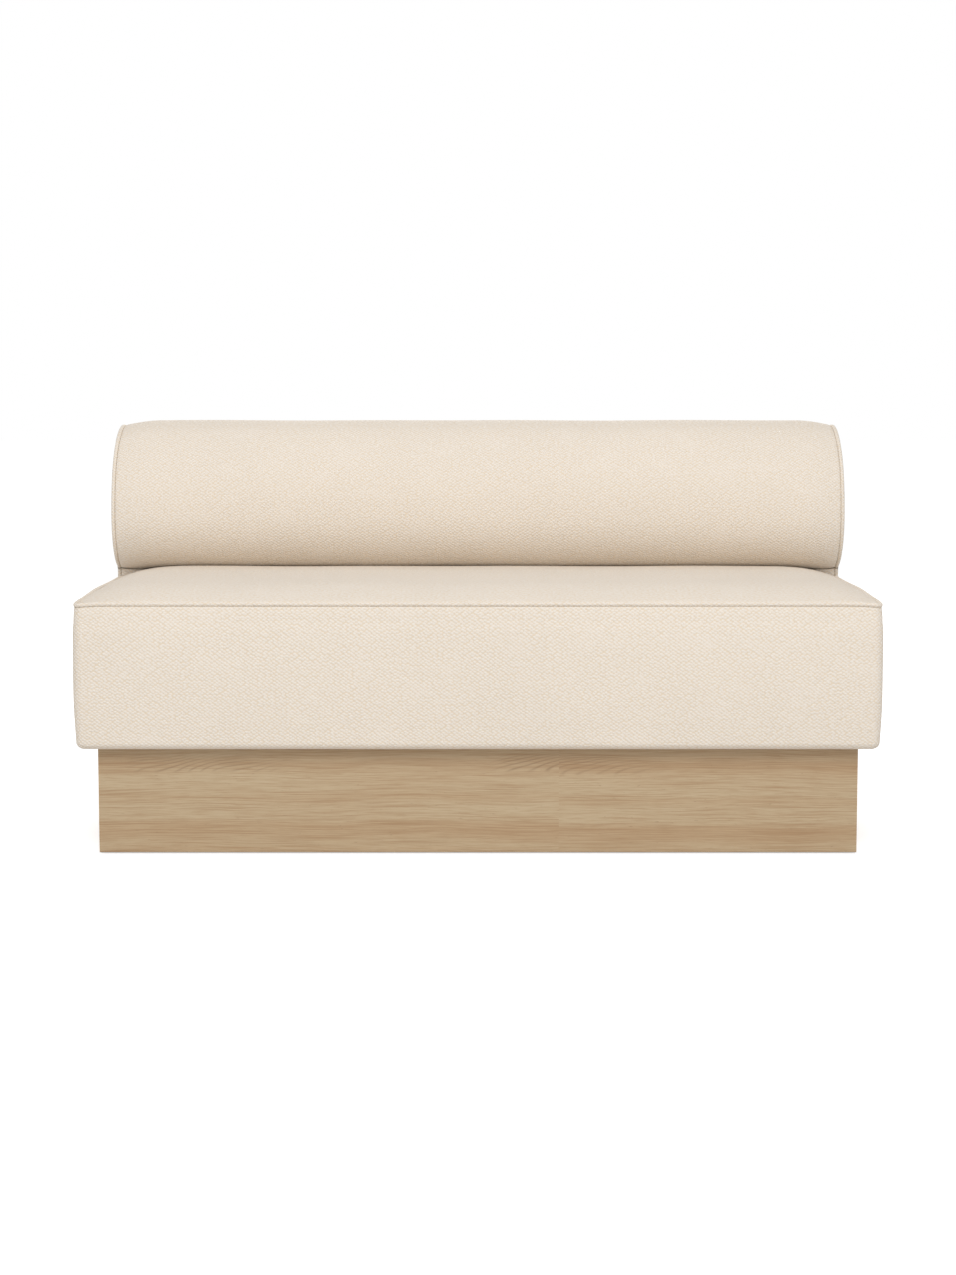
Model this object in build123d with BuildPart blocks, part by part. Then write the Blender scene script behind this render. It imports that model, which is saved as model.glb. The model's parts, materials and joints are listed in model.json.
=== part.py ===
from build123d import *
from math import sqrt
import os

os.makedirs("parts", exist_ok=True)

# Overall sizes in millimetres: X runs along the sofa, the front faces -Y, the floor is at Z = 0
sofa_width = 1650
sofa_depth = 800
sofa_height = 880
back_depth = 150
seat_underside = 222
band_height = 293

# Clearances
soft_gap = 0.3
screw_gap = 0.1
stem_gap = 0.05

# Covers and their folded seams
cover_thickness = 2
hem_width = 36
hem_radius = 12
lip_height = 8
lip_proud = 2.5
lip_fold_radius = 3
corner_radius = 22

# Form of the seat block
belly_height = 180
hem_draw = 4.5
seam_draw = 4
crown_rise = 27
crown_reach = 160
rear_crown_drop = 10
rear_crown_reach = 60
crown_start_share = 0.1
crown_step_shares = (0, 0.35, 0.7, 1)
dip_step_shares = (0, 0.5, 1)

# Form of the rolled back
roll_proud = 10
roll_overhang = 81
roll_drop = 125
roll_tuck = 13
roll_rear_radius = 65
roll_full_share = 0.9
roll_ease_share = 0.96
roll_ease_proud_share = 0.55
tight_radius_share = 0.8
end_lip_width = 8
end_lip_depth = 10
end_lip_proud = 2
end_panel_recess = 1

# Seat frame and filling
edge_foam_depth = 18
topper_depth = 75
rail_thickness = 21
rail_height = 122
brace_leg = 90
cross_rail_thickness = 27
cross_rail_drop = 30
frame_pitch = 400
frame_count = 3
webbing_width = 60
webbing_thickness = 1.6
webbing_pitch = 118
webbing_count = 13
long_webbing_pitch = 150
long_webbing_count = 3
felt_thickness = 1.5
dust_cover_thickness = 1

# Back frame and filling
back_foam_depth = 28
skin_thickness = 3
rib_thickness = 18
rib_pitch = 530
back_rail_thickness = 21
back_rail_height = 66
back_rail_setback = 26
nose_rail_setback = 12
front_rail_height = 96

# Plinth
plinth_inset = 41.6
foot_gap = 3
panel_thickness = 18
panel_arris = 0.8
block_width = 46
block_chamfer = 4
cleat_width = 60
cross_panel_height = 130
cross_panel_pitch = 720

# Levelling feet
pad_radius = 19
pad_height = 8
pad_chamfer = 1.5
stem_radius = 5
stem_length = 62
stem_seat_depth = 4
stem_bore_gap = 1
key_radius = 3
key_depth = 6
insert_radius = 7.5
insert_length = 22
insert_flange_radius = 12
insert_flange_thickness = 1.5
foot_stop_gap = 0.3

# Fasteners
bolt_radius = 4
bolt_head_radius = 7
bolt_head_height = 5
bolt_key_depth = 3
washer_radius = 12
washer_thickness = 1.6
nut_radius = 5.5
nut_length = 16
back_bolt_count = 4
screw_radius = 2.5
screw_head_radius = 4.5
screw_bite = 11
screw_stagger = 12
screw_height_shares = (0.45, 0.85)

# Levels and faces that follow from the sizes above
half_width = sofa_width / 2
front_y = -sofa_depth / 2
rear_y = sofa_depth / 2
seat_depth = sofa_depth - back_depth
leg_front_y = front_y + seat_depth
seat_rear_y = leg_front_y - soft_gap
lining = cover_thickness + soft_gap
frame_low = seat_underside + cover_thickness
seam_z = seat_underside + band_height
lip_top_z = seam_z + lip_height
crown_z = lip_top_z + crown_rise
belly_z = seat_underside + belly_height
rail_top = frame_low + rail_height
topper_low = lip_top_z - topper_depth
plinth_top = frame_low - dust_cover_thickness
end_seam_x = half_width - end_lip_width
end_frame_x = end_seam_x - end_lip_depth
end_rib_x = end_frame_x - rib_thickness
roll_axis_y = rear_y - roll_rear_radius
roll_rim_z = sofa_height - roll_proud
roll_axis_z = crown_z - roll_tuck + roll_drop
roll_rise = roll_rim_z - roll_axis_z
roll_reach = roll_axis_y - leg_front_y + roll_overhang
frame_inset = back_foam_depth + skin_thickness + soft_gap


def save(piece, name):
    """Label a finished piece and write it to its file."""
    piece.part.label = name
    export_step(piece.part, "parts/" + name + ".step")


def block(low, high, mode=Mode.ADD):
    """A box from its lowest corner to its highest, in the open part."""
    with Locations(tuple((a + b) / 2 for a, b in zip(low, high))):
        Box(*[b - a for a, b in zip(low, high)], mode=mode)


def row(count, pitch):
    """Places along a line, evenly spaced about its middle."""
    return [(i - (count - 1) / 2) * pitch for i in range(count)]


# Bolts that hold the frames to the plinth, and the back to the seat: each plane looks out of its hole
cleat_y = rear_y - plinth_inset - panel_thickness - cleat_width / 2
cleat_low = plinth_top - panel_thickness
frame_bolt_planes = [
    Plane((x, y, cleat_low), z_dir=(0, 0, -1))
    for x in row(frame_count, frame_pitch)
    for y in (-cleat_y, cleat_y)
]
rear_rail_y = seat_rear_y - lining - rail_thickness
back_bolt_planes = [
    Plane((x, rear_rail_y, frame_low + front_rail_height / 2), z_dir=(0, -1, 0))
    for x in row(back_bolt_count, frame_pitch)
]
frame_grip = plinth_top - cleat_low + dust_cover_thickness
back_grip = leg_front_y + lining - rear_rail_y


def drill(planes, radius, depth, start=0):
    """Cut a hole into the open part from each plane, beginning start below it."""
    with Locations(*[plane.offset(-start) for plane in planes]):
        Cylinder(radius, depth, align=(Align.CENTER, Align.CENTER, Align.MAX), mode=Mode.SUBTRACT)


def bolt_set(planes, grip):
    """Bolts with their washers and insert nuts, one of each at every plane."""
    down = (Align.CENTER, Align.CENTER, Align.MAX)
    up = (Align.CENTER, Align.CENTER, Align.MIN)
    with BuildPart() as bolts:
        with Locations(*planes):
            Cylinder(bolt_radius, grip + nut_length, align=down)
            Cylinder(bolt_radius, washer_thickness, align=up)
        with Locations(*[plane.offset(washer_thickness) for plane in planes]):
            Cylinder(bolt_head_radius, bolt_head_height, align=up)
        with Locations(*[plane.offset(washer_thickness + bolt_head_height) for plane in planes]):
            Cylinder(key_radius, bolt_key_depth, align=down, mode=Mode.SUBTRACT)
    with BuildPart() as washers:
        with Locations(*planes):
            Cylinder(washer_radius, washer_thickness, align=up)
            Cylinder(bolt_radius + screw_gap, washer_thickness, align=up, mode=Mode.SUBTRACT)
    with BuildPart() as nuts:
        with Locations(*[plane.offset(-grip) for plane in planes]):
            Cylinder(nut_radius, nut_length, align=down)
            Cylinder(bolt_radius + screw_gap, nut_length, align=down, mode=Mode.SUBTRACT)
    return bolts, washers, nuts


frame_bolts, frame_washers, frame_nuts = bolt_set(frame_bolt_planes, frame_grip)
save(frame_bolts, "frame_bolts")
save(frame_washers, "frame_bolt_washers")
save(frame_nuts, "frame_insert_nuts")

back_bolts, back_washers, back_nuts = bolt_set(back_bolt_planes, back_grip)
save(back_bolts, "back_bolts")
save(back_washers, "back_bolt_washers")
save(back_nuts, "back_insert_nuts")


# Seat block


def crown_station(y, share, inset):
    """The seat's section at one place along its depth, its crown raised by a share of the full rise."""
    side = half_width - inset
    edge = lip_top_z - inset
    high = edge + share * crown_rise
    with BuildLine() as outline:
        Polyline((-side, edge), (-side, 0), (side, 0), (side, edge))
        TangentArc((side - crown_reach, high), (side, edge), tangent=(1, 0))
        Line((crown_reach - side, high), (side - crown_reach, high))
        TangentArc((crown_reach - side, high), (-side, edge), tangent=(-1, 0))
    with BuildSketch(Plane.XZ.offset(-y)) as station:
        make_face(outline.edges())
    return station.sketch


def crown_form(inset):
    """A solid whose top is the seat's crown: it rises from the front, runs level and dips at the back."""
    front = front_y + inset
    rear = seat_rear_y - inset
    rise_end = front + crown_reach
    dip_start = rear - rear_crown_reach
    dip = rear_crown_drop / crown_rise
    with BuildPart() as form:
        rising = []
        for step in crown_step_shares:
            share = 1 - (1 - crown_start_share) * (1 - step) ** 2
            rising.append(crown_station(front + step * crown_reach, share, inset))
        loft(rising)
        extrude(crown_station(rise_end, 1, inset), amount=-(dip_start - rise_end))
        dipping = []
        for step in dip_step_shares:
            dipping.append(crown_station(dip_start + step * rear_crown_reach, 1 - dip * step**2, inset))
        loft(dipping)
    return form.part


def seat_form(inset):
    """The upholstered seat block, drawn in by inset on every side."""
    side = half_width - inset
    front, rear = front_y + inset, seat_rear_y - inset
    low = seat_underside + inset
    with BuildPart() as form:
        with BuildSketch(Plane.XZ) as across:
            with BuildLine():
                Line((0, low), (side - hem_draw, low))
                ThreePointArc((side - hem_draw, low), (side, belly_z), (side - seam_draw, seam_z))
                Polyline((side - seam_draw, seam_z), (side - seam_draw, sofa_height), (0, sofa_height))
                mirror(about=Plane.YZ)
            make_face()
            hems = across.vertices().group_by(Axis.Y)[0].sort_by(Axis.X)
            fillet([hems[0], hems[-1]], hem_radius - inset)
        extrude(amount=sofa_depth, both=True)
        with BuildSketch(Plane.YZ) as along:
            with BuildLine():
                Line((rear, low), (front + hem_draw, low))
                ThreePointArc((front + hem_draw, low), (front, belly_z), (front + seam_draw, seam_z))
                Polyline((front + seam_draw, seam_z), (front + seam_draw, sofa_height), (rear, sofa_height))
                Line((rear, sofa_height), (rear, low))
            make_face()
            fillet(along.vertices().group_by(Axis.Y)[0].sort_by(Axis.X)[0], hem_radius - inset)
        extrude(amount=sofa_width, both=True, mode=Mode.INTERSECT)
        with BuildSketch() as plan:
            with Locations((0, (front + rear) / 2)):
                Rectangle(2 * side, rear - front)
            fillet(plan.vertices().group_by(Axis.Y)[0], corner_radius - inset)
        extrude(amount=sofa_height, mode=Mode.INTERSECT)
        add(crown_form(inset), mode=Mode.INTERSECT)
    return form.part


seat_outside = seat_form(0)
seat_inside = seat_form(cover_thickness)
seat_lining = seat_form(lining)
hem_x = half_width - hem_width
hem_y = rear_y - hem_width

with BuildPart() as seat_cover_band:
    add(seat_outside)
    add(seat_inside, mode=Mode.SUBTRACT)
    split(bisect_by=Plane.XY.offset(seam_z), keep=Keep.BOTTOM)
    block((-hem_x, -hem_y, 0), (hem_x, rear_y, frame_low), mode=Mode.SUBTRACT)
    drill(back_bolt_planes, bolt_radius + screw_gap, back_grip)
save(seat_cover_band, "seat_cover_band")

with BuildPart() as seat_cover_top:
    add(seat_outside)
    add(seat_inside, mode=Mode.SUBTRACT)
    split(bisect_by=Plane.XY.offset(lip_top_z), keep=Keep.TOP)
save(seat_cover_top, "seat_cover_top")

with BuildPart() as seat_seam_lip:
    lip_side = half_width - seam_draw + lip_proud
    lip_front_y = front_y + seam_draw - lip_proud
    with BuildSketch(Plane.XY.offset(seam_z)) as lip_plan:
        with Locations((0, (lip_front_y + seat_rear_y) / 2)):
            Rectangle(2 * lip_side, seat_rear_y - lip_front_y)
        fillet(lip_plan.vertices().group_by(Axis.Y)[0], corner_radius)
    extrude(amount=lip_height)
    rear_edges = seat_seam_lip.edges().group_by(Axis.Y)[-1]
    fillet(seat_seam_lip.edges().filter_by(Axis.Z, reverse=True) - rear_edges, lip_fold_radius)
    add(seat_inside, mode=Mode.SUBTRACT)
save(seat_seam_lip, "seat_seam_lip")

with BuildPart() as seat_topper_foam:
    add(seat_lining)
    split(bisect_by=Plane.XY.offset(topper_low), keep=Keep.TOP)
save(seat_topper_foam, "seat_topper_foam")

frame_x = half_width - lining - edge_foam_depth
frame_front_y = front_y + lining + edge_foam_depth
frame_rear_y = seat_rear_y - lining
with BuildPart() as seat_edge_foam:
    add(seat_lining)
    split(bisect_by=Plane.XY.offset(topper_low), keep=Keep.BOTTOM)
    block((-frame_x, frame_front_y, 0), (frame_x, rear_y, topper_low), mode=Mode.SUBTRACT)
save(seat_edge_foam, "seat_edge_foam")

long_webbing_y = (frame_front_y + frame_rear_y) / 2
with BuildPart() as seat_webbing_long:
    for y in row(long_webbing_count, long_webbing_pitch):
        block(
            (-frame_x, long_webbing_y + y - webbing_width / 2, rail_top),
            (frame_x, long_webbing_y + y + webbing_width / 2, rail_top + webbing_thickness),
        )
save(seat_webbing_long, "seat_webbing_long")

webbing_top = rail_top + 2 * webbing_thickness
with BuildPart() as seat_webbing_cross:
    for x in row(webbing_count, webbing_pitch):
        block(
            (x - webbing_width / 2, frame_front_y, rail_top + webbing_thickness),
            (x + webbing_width / 2, frame_rear_y, webbing_top),
        )
save(seat_webbing_cross, "seat_webbing_cross")

core_low = webbing_top + felt_thickness
with BuildPart() as seat_felt_sheet:
    block((-frame_x, frame_front_y, webbing_top), (frame_x, frame_rear_y, core_low))
save(seat_felt_sheet, "seat_felt_sheet")

with BuildPart() as seat_core_foam:
    block((-frame_x, frame_front_y, core_low), (frame_x, frame_rear_y, topper_low))
save(seat_core_foam, "seat_core_foam")

with BuildPart() as seat_front_rail:
    block((-frame_x, frame_front_y, frame_low), (frame_x, frame_front_y + rail_thickness, rail_top))
save(seat_front_rail, "seat_front_rail")

with BuildPart() as seat_rear_rail:
    block((-frame_x, rear_rail_y, frame_low), (frame_x, frame_rear_y, rail_top))
    drill(back_bolt_planes, bolt_radius + screw_gap, back_grip)
save(seat_rear_rail, "seat_rear_rail")

inner_x = frame_x - rail_thickness
inner_front_y = frame_front_y + rail_thickness
for side, name in ((-1, "seat_left_rail"), (1, "seat_right_rail")):
    with BuildPart() as seat_side_rail:
        near, far = sorted((side * inner_x, side * frame_x))
        block((near, inner_front_y, frame_low), (far, rear_rail_y, rail_top))
    save(seat_side_rail, name)

with BuildPart() as seat_cross_rails:
    for x in row(frame_count, frame_pitch):
        block(
            (x - cross_rail_thickness / 2, inner_front_y, frame_low),
            (x + cross_rail_thickness / 2, rear_rail_y, rail_top - cross_rail_drop),
        )
    drill(frame_bolt_planes, nut_radius, nut_length, frame_grip)
save(seat_cross_rails, "seat_cross_rails")

with BuildPart() as seat_corner_braces:
    with BuildSketch(Plane.XY.offset(frame_low)):
        for side in (-1, 1):
            for y, toward in ((inner_front_y, 1), (rear_rail_y, -1)):
                x = side * inner_x
                with BuildLine():
                    Polyline((x, y), (x - side * brace_leg, y), (x, y + toward * brace_leg), close=True)
                make_face()
    extrude(amount=rail_thickness)
save(seat_corner_braces, "seat_corner_braces")

with BuildPart() as dust_cover:
    block((-hem_x, -hem_y, plinth_top), (hem_x, hem_y, frame_low))
    drill(frame_bolt_planes, bolt_radius + screw_gap, frame_grip)
save(dust_cover, "dust_cover")


# Rolled back


def oval_quarter(reach, height):
    """Where a quarter oval's two arcs meet, out and up from its middle, and the radius at its top."""
    short, long = sorted((reach, height))
    tight = tight_radius_share * short
    broad = (short**2 + (long - tight) ** 2 - tight**2) / (2 * (short - tight))
    along = (long - tight) * broad / (broad - tight)
    across = (broad - short) * tight / (broad - tight)
    return (along, across, broad) if reach > height else (across, along, tight)


def back_section(proud, inset):
    """The back's outline in Y and Z: an oval roll on an upright, square at the rear."""
    low = seat_underside + min(inset, cover_thickness)
    rear, leg = rear_y - inset, leg_front_y + inset
    reach = roll_reach + proud - inset
    rise = roll_rise + proud - inset
    drop = roll_drop - inset
    rear_reach = roll_rear_radius - inset
    nose, top = roll_axis_y - reach, roll_axis_z + rise
    shoulder_out, shoulder_up, _ = oval_quarter(reach, rise)
    chin_out, chin_down, under = oval_quarter(reach, drop)
    shoulder = (roll_axis_y - shoulder_out, roll_axis_z + shoulder_up)
    chin = (roll_axis_y - chin_out, roll_axis_z - chin_down)
    leg_top = roll_axis_z + (under - drop) - sqrt(under**2 - (roll_axis_y - leg) ** 2)
    with BuildLine() as outline:
        TangentArc((roll_axis_y, top), shoulder, tangent=(-1, 0))
        TangentArc((nose, roll_axis_z), shoulder, tangent=(0, 1))
        under_nose = TangentArc((nose, roll_axis_z), chin, tangent=(0, -1))
        TangentArc(chin, (leg, leg_top), tangent=under_nose % 1)
        Polyline((leg, leg_top), (leg, low), (rear, low), (rear, top - rear_reach))
        TangentArc((rear, top - rear_reach), (roll_axis_y, top), tangent=(0, 1))
    make_face(outline.edges())


def back_form(inset):
    """The back between its end seams: full in the middle and drawn in towards each seam."""
    full_x = roll_full_share * end_seam_x
    ease_x = roll_ease_share * end_seam_x
    with BuildPart() as form:
        with BuildSketch(Plane.YZ):
            back_section(roll_proud, inset)
        extrude(amount=full_x, both=True)
        for side in (-1, 1):
            with BuildSketch(Plane.YZ.offset(side * full_x)):
                back_section(roll_proud, inset)
            with BuildSketch(Plane.YZ.offset(side * ease_x)):
                back_section(roll_ease_proud_share * roll_proud, inset)
            with BuildSketch(Plane.YZ.offset(side * end_seam_x)):
                back_section(0, inset)
            loft()
    return form.part


def back_slice(x_from, x_to, inset, proud=0, mode=Mode.ADD):
    """A slice of the back with straight sides, in the open part."""
    with BuildSketch(Plane.YZ.offset(x_from)) as section:
        back_section(proud, inset)
    extrude(section.sketch, amount=x_to - x_from, mode=mode)


with BuildPart() as back_cover_main:
    add(back_form(0))
    add(back_form(cover_thickness), mode=Mode.SUBTRACT)
    block((-hem_x, 0, 0), (hem_x, hem_y, frame_low), mode=Mode.SUBTRACT)
    drill(back_bolt_planes, bolt_radius + screw_gap, back_grip)
save(back_cover_main, "back_cover_main")

under_roll_z = roll_axis_z - roll_drop + cover_thickness
with BuildPart() as back_roll_foam:
    add(back_form(lining))
    with BuildSketch(Plane.YZ):
        back_section(0, back_foam_depth)
    extrude(amount=sofa_width, both=True, mode=Mode.SUBTRACT)
    block((-end_frame_x, 0, under_roll_z), (end_frame_x, rear_y, sofa_height), mode=Mode.INTERSECT)
save(back_roll_foam, "back_roll_foam")

foam_front_y = leg_front_y + lining
foam_back_y = leg_front_y + back_foam_depth
with BuildPart() as back_front_foam:
    block((-end_frame_x, foam_front_y, seam_z), (end_frame_x, foam_back_y, under_roll_z))
save(back_front_foam, "back_front_foam")

with BuildPart() as back_rear_foam:
    block((-end_frame_x, rear_y - back_foam_depth, frame_low), (end_frame_x, rear_y - lining, under_roll_z))
save(back_rear_foam, "back_rear_foam")

with BuildPart() as back_curved_skin:
    back_slice(-end_frame_x, end_frame_x, back_foam_depth + soft_gap)
    with BuildSketch(Plane.YZ):
        back_section(0, back_foam_depth + skin_thickness)
    extrude(amount=sofa_width, both=True, mode=Mode.SUBTRACT)
    split(bisect_by=Plane.XY.offset(seam_z), keep=Keep.TOP)
save(back_curved_skin, "back_curved_skin")

with BuildPart() as back_rear_panel:
    panel_y = rear_y - back_foam_depth - soft_gap
    block((-end_frame_x, rear_y - frame_inset, frame_low), (end_frame_x, panel_y, seam_z))
save(back_rear_panel, "back_rear_panel")



def back_rail(low, high):
    """A rail along the back, its edges kept inside the line of the ribs."""
    with BuildPart() as rail:
        block(low, high)
        back_slice(low[0], high[0], frame_inset, mode=Mode.INTERSECT)
    return rail


rib_front_y = leg_front_y + frame_inset
rib_rear_y = rear_y - frame_inset
rib_nose_y = roll_axis_y - roll_reach + frame_inset
rib_top_z = roll_rim_z - frame_inset
top_rail_z = rib_top_z - back_rail_setback
back_top_rail = back_rail(
    (-end_rib_x, roll_axis_y - back_rail_height, top_rail_z - back_rail_thickness),
    (end_rib_x, roll_axis_y, top_rail_z),
)
save(back_top_rail, "back_top_rail")

nose_rail_y = rib_nose_y + nose_rail_setback
back_nose_rail = back_rail(
    (-end_rib_x, nose_rail_y, roll_axis_z - back_rail_height / 2),
    (end_rib_x, nose_rail_y + back_rail_thickness, roll_axis_z + back_rail_height / 2),
)
save(back_nose_rail, "back_nose_rail")

back_spine_rail = back_rail(
    (-end_rib_x, rib_rear_y - back_rail_thickness, seam_z - back_rail_height / 2),
    (end_rib_x, rib_rear_y, seam_z + back_rail_height / 2),
)
save(back_spine_rail, "back_spine_rail")

back_bottom_rail = back_rail(
    (-end_rib_x, rib_front_y, frame_low),
    (end_rib_x, rib_front_y + back_rail_height, frame_low + back_rail_thickness),
)
with back_bottom_rail:
    drill(frame_bolt_planes, nut_radius, nut_length, frame_grip)
save(back_bottom_rail, "back_bottom_rail")

with BuildPart() as back_inner_ribs:
    for x in (-rib_pitch / 2, rib_pitch / 2):
        back_slice(x - rib_thickness / 2, x + rib_thickness / 2, frame_inset)
    for rail in (back_top_rail, back_nose_rail, back_spine_rail, back_bottom_rail):
        add(rail.part, mode=Mode.SUBTRACT)
save(back_inner_ribs, "back_inner_ribs")

with BuildPart() as back_front_rails:
    for low in (frame_low, seam_z - front_rail_height):
        block((-end_frame_x, foam_front_y, low), (end_frame_x, rib_front_y, low + front_rail_height))
    drill(back_bolt_planes, nut_radius, nut_length, back_grip)
save(back_front_rails, "back_front_rails")

end_panel_x = half_width - end_panel_recess - cover_thickness
for side, name in ((-1, "left"), (1, "right")):
    with BuildPart() as back_end_rib:
        back_slice(side * end_rib_x, side * end_frame_x, frame_inset)
    save(back_end_rib, "back_" + name + "_rib")

    with BuildPart() as back_end_foam:
        back_slice(side * end_frame_x, side * (end_seam_x - soft_gap), lining)
        back_slice(side * (end_seam_x - soft_gap), side * (end_panel_x - soft_gap), end_lip_depth + soft_gap)
    save(back_end_foam, "back_" + name + "_end_foam")

    with BuildPart() as back_end_cover:
        back_slice(side * end_panel_x, side * (end_panel_x + cover_thickness), end_lip_depth)
    save(back_end_cover, "back_cover_" + name + "_end")

    with BuildPart() as back_end_lip:
        back_slice(side * end_seam_x, side * half_width, 0, end_lip_proud)
        lip_face = back_end_lip.faces().sort_by(Axis.X)[0 if side < 0 else -1]
        fillet(lip_face.edges(), lip_fold_radius)
        back_slice(side * end_seam_x, side * half_width, end_lip_depth, mode=Mode.SUBTRACT)
    save(back_end_lip, "back_" + name + "_seam_lip")


# Plinth


def plinth_panel(facing, half_length, reach):
    """A board with mitred ends, standing reach away from the middle, its outer arrises eased."""
    with BuildPart() as panel:
        with BuildSketch(Plane((0, 0, foot_gap), x_dir=facing, z_dir=(0, 0, 1))):
            with BuildLine():
                Polyline(
                    (-half_length, -reach),
                    (half_length, -reach),
                    (half_length - panel_thickness, -reach + panel_thickness),
                    (-half_length + panel_thickness, -reach + panel_thickness),
                    close=True,
                )
            make_face()
        extrude(amount=plinth_top - foot_gap)
        chamfer(panel.edges().sort_by(SortBy.LENGTH)[-2:], panel_arris)
        drill(screw_planes, screw_radius + screw_gap, screw_bite, block_width)
    return panel


plinth_x = half_width - plinth_inset
plinth_y = rear_y - plinth_inset
bay_x = plinth_x - panel_thickness
bay_y = plinth_y - panel_thickness
foot_x = bay_x - block_width / 2
foot_y = bay_y - block_width / 2
block_low = pad_height + foot_stop_gap + insert_flange_thickness
block_height = plinth_top - block_low

screw_planes = []
for side_x in (-1, 1):
    for side_y in (-1, 1):
        for share in screw_height_shares:
            z = block_low + share * block_height
            inner_y = side_y * (bay_y - block_width)
            inner_x = side_x * (bay_x - block_width)
            screw_planes.append(Plane((side_x * foot_x, inner_y, z), z_dir=(0, -side_y, 0)))
            screw_planes.append(Plane((inner_x, side_y * foot_y, z + screw_stagger), z_dir=(-side_x, 0, 0)))

save(plinth_panel((1, 0, 0), plinth_x, plinth_y), "plinth_front_panel")
save(plinth_panel((-1, 0, 0), plinth_x, plinth_y), "plinth_rear_panel")
save(plinth_panel((0, 1, 0), plinth_y, plinth_x), "plinth_right_panel")
save(plinth_panel((0, -1, 0), plinth_y, plinth_x), "plinth_left_panel")

with BuildPart() as plinth_screws:
    with Locations(*screw_planes):
        Cylinder(screw_radius, block_width + screw_bite, align=(Align.CENTER, Align.CENTER, Align.MAX))
        Cone(
            screw_radius,
            screw_head_radius,
            screw_head_radius - screw_radius,
            align=(Align.CENTER, Align.CENTER, Align.MAX),
        )
save(plinth_screws, "plinth_screws")

feet = {
    "front_left": (-foot_x, -foot_y),
    "front_right": (foot_x, -foot_y),
    "rear_left": (-foot_x, foot_y),
    "rear_right": (foot_x, foot_y),
}

with BuildPart() as plinth_corner_blocks:
    with BuildSketch(Plane.XY.offset(block_low)):
        with Locations(*feet.values()):
            Rectangle(block_width, block_width)
    extrude(amount=block_height)
    inward = plinth_corner_blocks.edges().filter_by(Axis.Z).sort_by_distance((0, 0, block_low))[:len(feet)]
    chamfer(inward, block_chamfer)
    with Locations(*screw_planes):
        CounterSinkHole(
            screw_radius + screw_gap,
            screw_head_radius + screw_gap,
            depth=block_width,
            counter_sink_angle=90,
        )
    foot_planes = [Plane((x, y, block_low), z_dir=(0, 0, -1)) for x, y in feet.values()]
    drill(foot_planes, insert_radius, insert_length)
    drill(foot_planes, stem_radius + stem_bore_gap, stem_length)
save(plinth_corner_blocks, "plinth_corner_blocks")

with BuildPart() as plinth_cleats:
    for y in (-cleat_y, cleat_y):
        block(
            (-bay_x + block_width, y - cleat_width / 2, cleat_low),
            (bay_x - block_width, y + cleat_width / 2, plinth_top),
        )
    drill(frame_bolt_planes, bolt_radius + screw_gap, frame_grip)
save(plinth_cleats, "plinth_cleats")

with BuildPart() as plinth_cross_panels:
    for x in (-cross_panel_pitch / 2, cross_panel_pitch / 2):
        block(
            (x - panel_thickness / 2, -bay_y, cleat_low - cross_panel_height),
            (x + panel_thickness / 2, bay_y, cleat_low),
        )
save(plinth_cross_panels, "plinth_cross_panels")


# Levelling feet

with BuildPart() as foot_inserts:
    with BuildSketch(Plane.XY.offset(block_low)):
        with Locations(*feet.values()):
            Circle(insert_radius)
            Circle(stem_radius + stem_gap, mode=Mode.SUBTRACT)
    extrude(amount=insert_length)
    with BuildSketch(Plane.XY.offset(block_low)):
        with Locations(*feet.values()):
            Circle(insert_flange_radius)
            Circle(stem_radius + stem_gap, mode=Mode.SUBTRACT)
    extrude(amount=-insert_flange_thickness)
save(foot_inserts, "foot_inserts")

for corner, (x, y) in feet.items():
    with BuildPart() as foot_pad:
        with BuildSketch():
            with Locations((x, y)):
                Circle(pad_radius)
        extrude(amount=pad_height)
        chamfer(foot_pad.edges().group_by(Axis.Z)[-1], pad_chamfer)
        with Locations((x, y, pad_height)):
            Hole(stem_radius + stem_gap, pad_height - stem_seat_depth)
    save(foot_pad, "foot_pad_" + corner)

    with BuildPart() as foot_stem:
        with BuildSketch(Plane.XY.offset(stem_seat_depth)):
            with Locations((x, y)):
                Circle(stem_radius)
        extrude(amount=stem_length)
        with BuildSketch(Plane.XY.offset(stem_seat_depth + stem_length)):
            with Locations((x, y)):
                RegularPolygon(key_radius, 6)
        extrude(amount=-key_depth, mode=Mode.SUBTRACT)
    save(foot_stem, "foot_stem_" + corner)
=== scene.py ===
import json
from math import acos, atan2, cos, pi, radians, sin, sqrt
import bpy
import numpy as np
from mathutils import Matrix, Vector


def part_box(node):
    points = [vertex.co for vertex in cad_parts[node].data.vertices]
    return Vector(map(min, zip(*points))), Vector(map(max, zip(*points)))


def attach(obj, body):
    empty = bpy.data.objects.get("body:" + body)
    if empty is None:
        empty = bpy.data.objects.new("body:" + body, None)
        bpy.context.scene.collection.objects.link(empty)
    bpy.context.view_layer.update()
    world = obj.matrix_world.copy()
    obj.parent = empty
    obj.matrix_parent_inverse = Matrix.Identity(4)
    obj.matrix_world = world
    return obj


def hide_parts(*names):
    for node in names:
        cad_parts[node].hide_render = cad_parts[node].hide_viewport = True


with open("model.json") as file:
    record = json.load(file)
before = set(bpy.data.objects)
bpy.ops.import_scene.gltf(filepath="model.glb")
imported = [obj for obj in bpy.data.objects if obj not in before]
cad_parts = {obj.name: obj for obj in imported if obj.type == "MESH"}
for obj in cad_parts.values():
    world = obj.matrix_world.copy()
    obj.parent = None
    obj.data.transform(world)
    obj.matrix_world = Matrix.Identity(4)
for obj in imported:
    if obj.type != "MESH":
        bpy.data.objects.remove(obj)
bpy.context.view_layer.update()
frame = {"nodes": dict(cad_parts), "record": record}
mm = 0.001
print("frame loaded:", len(frame["nodes"]), "nodes")


# The photograph's camera: straight in front, a little above the seat, looking slightly down

cameraSetup = {
    "place": (0.0, -5.416, 0.994),
    "tiltDown": 6.137,  # degrees
    "focalPixels": 2480,
    "frameHeight": 1275,  # pixels
    "film": 36.0,  # millimetres, along the height
}


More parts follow.
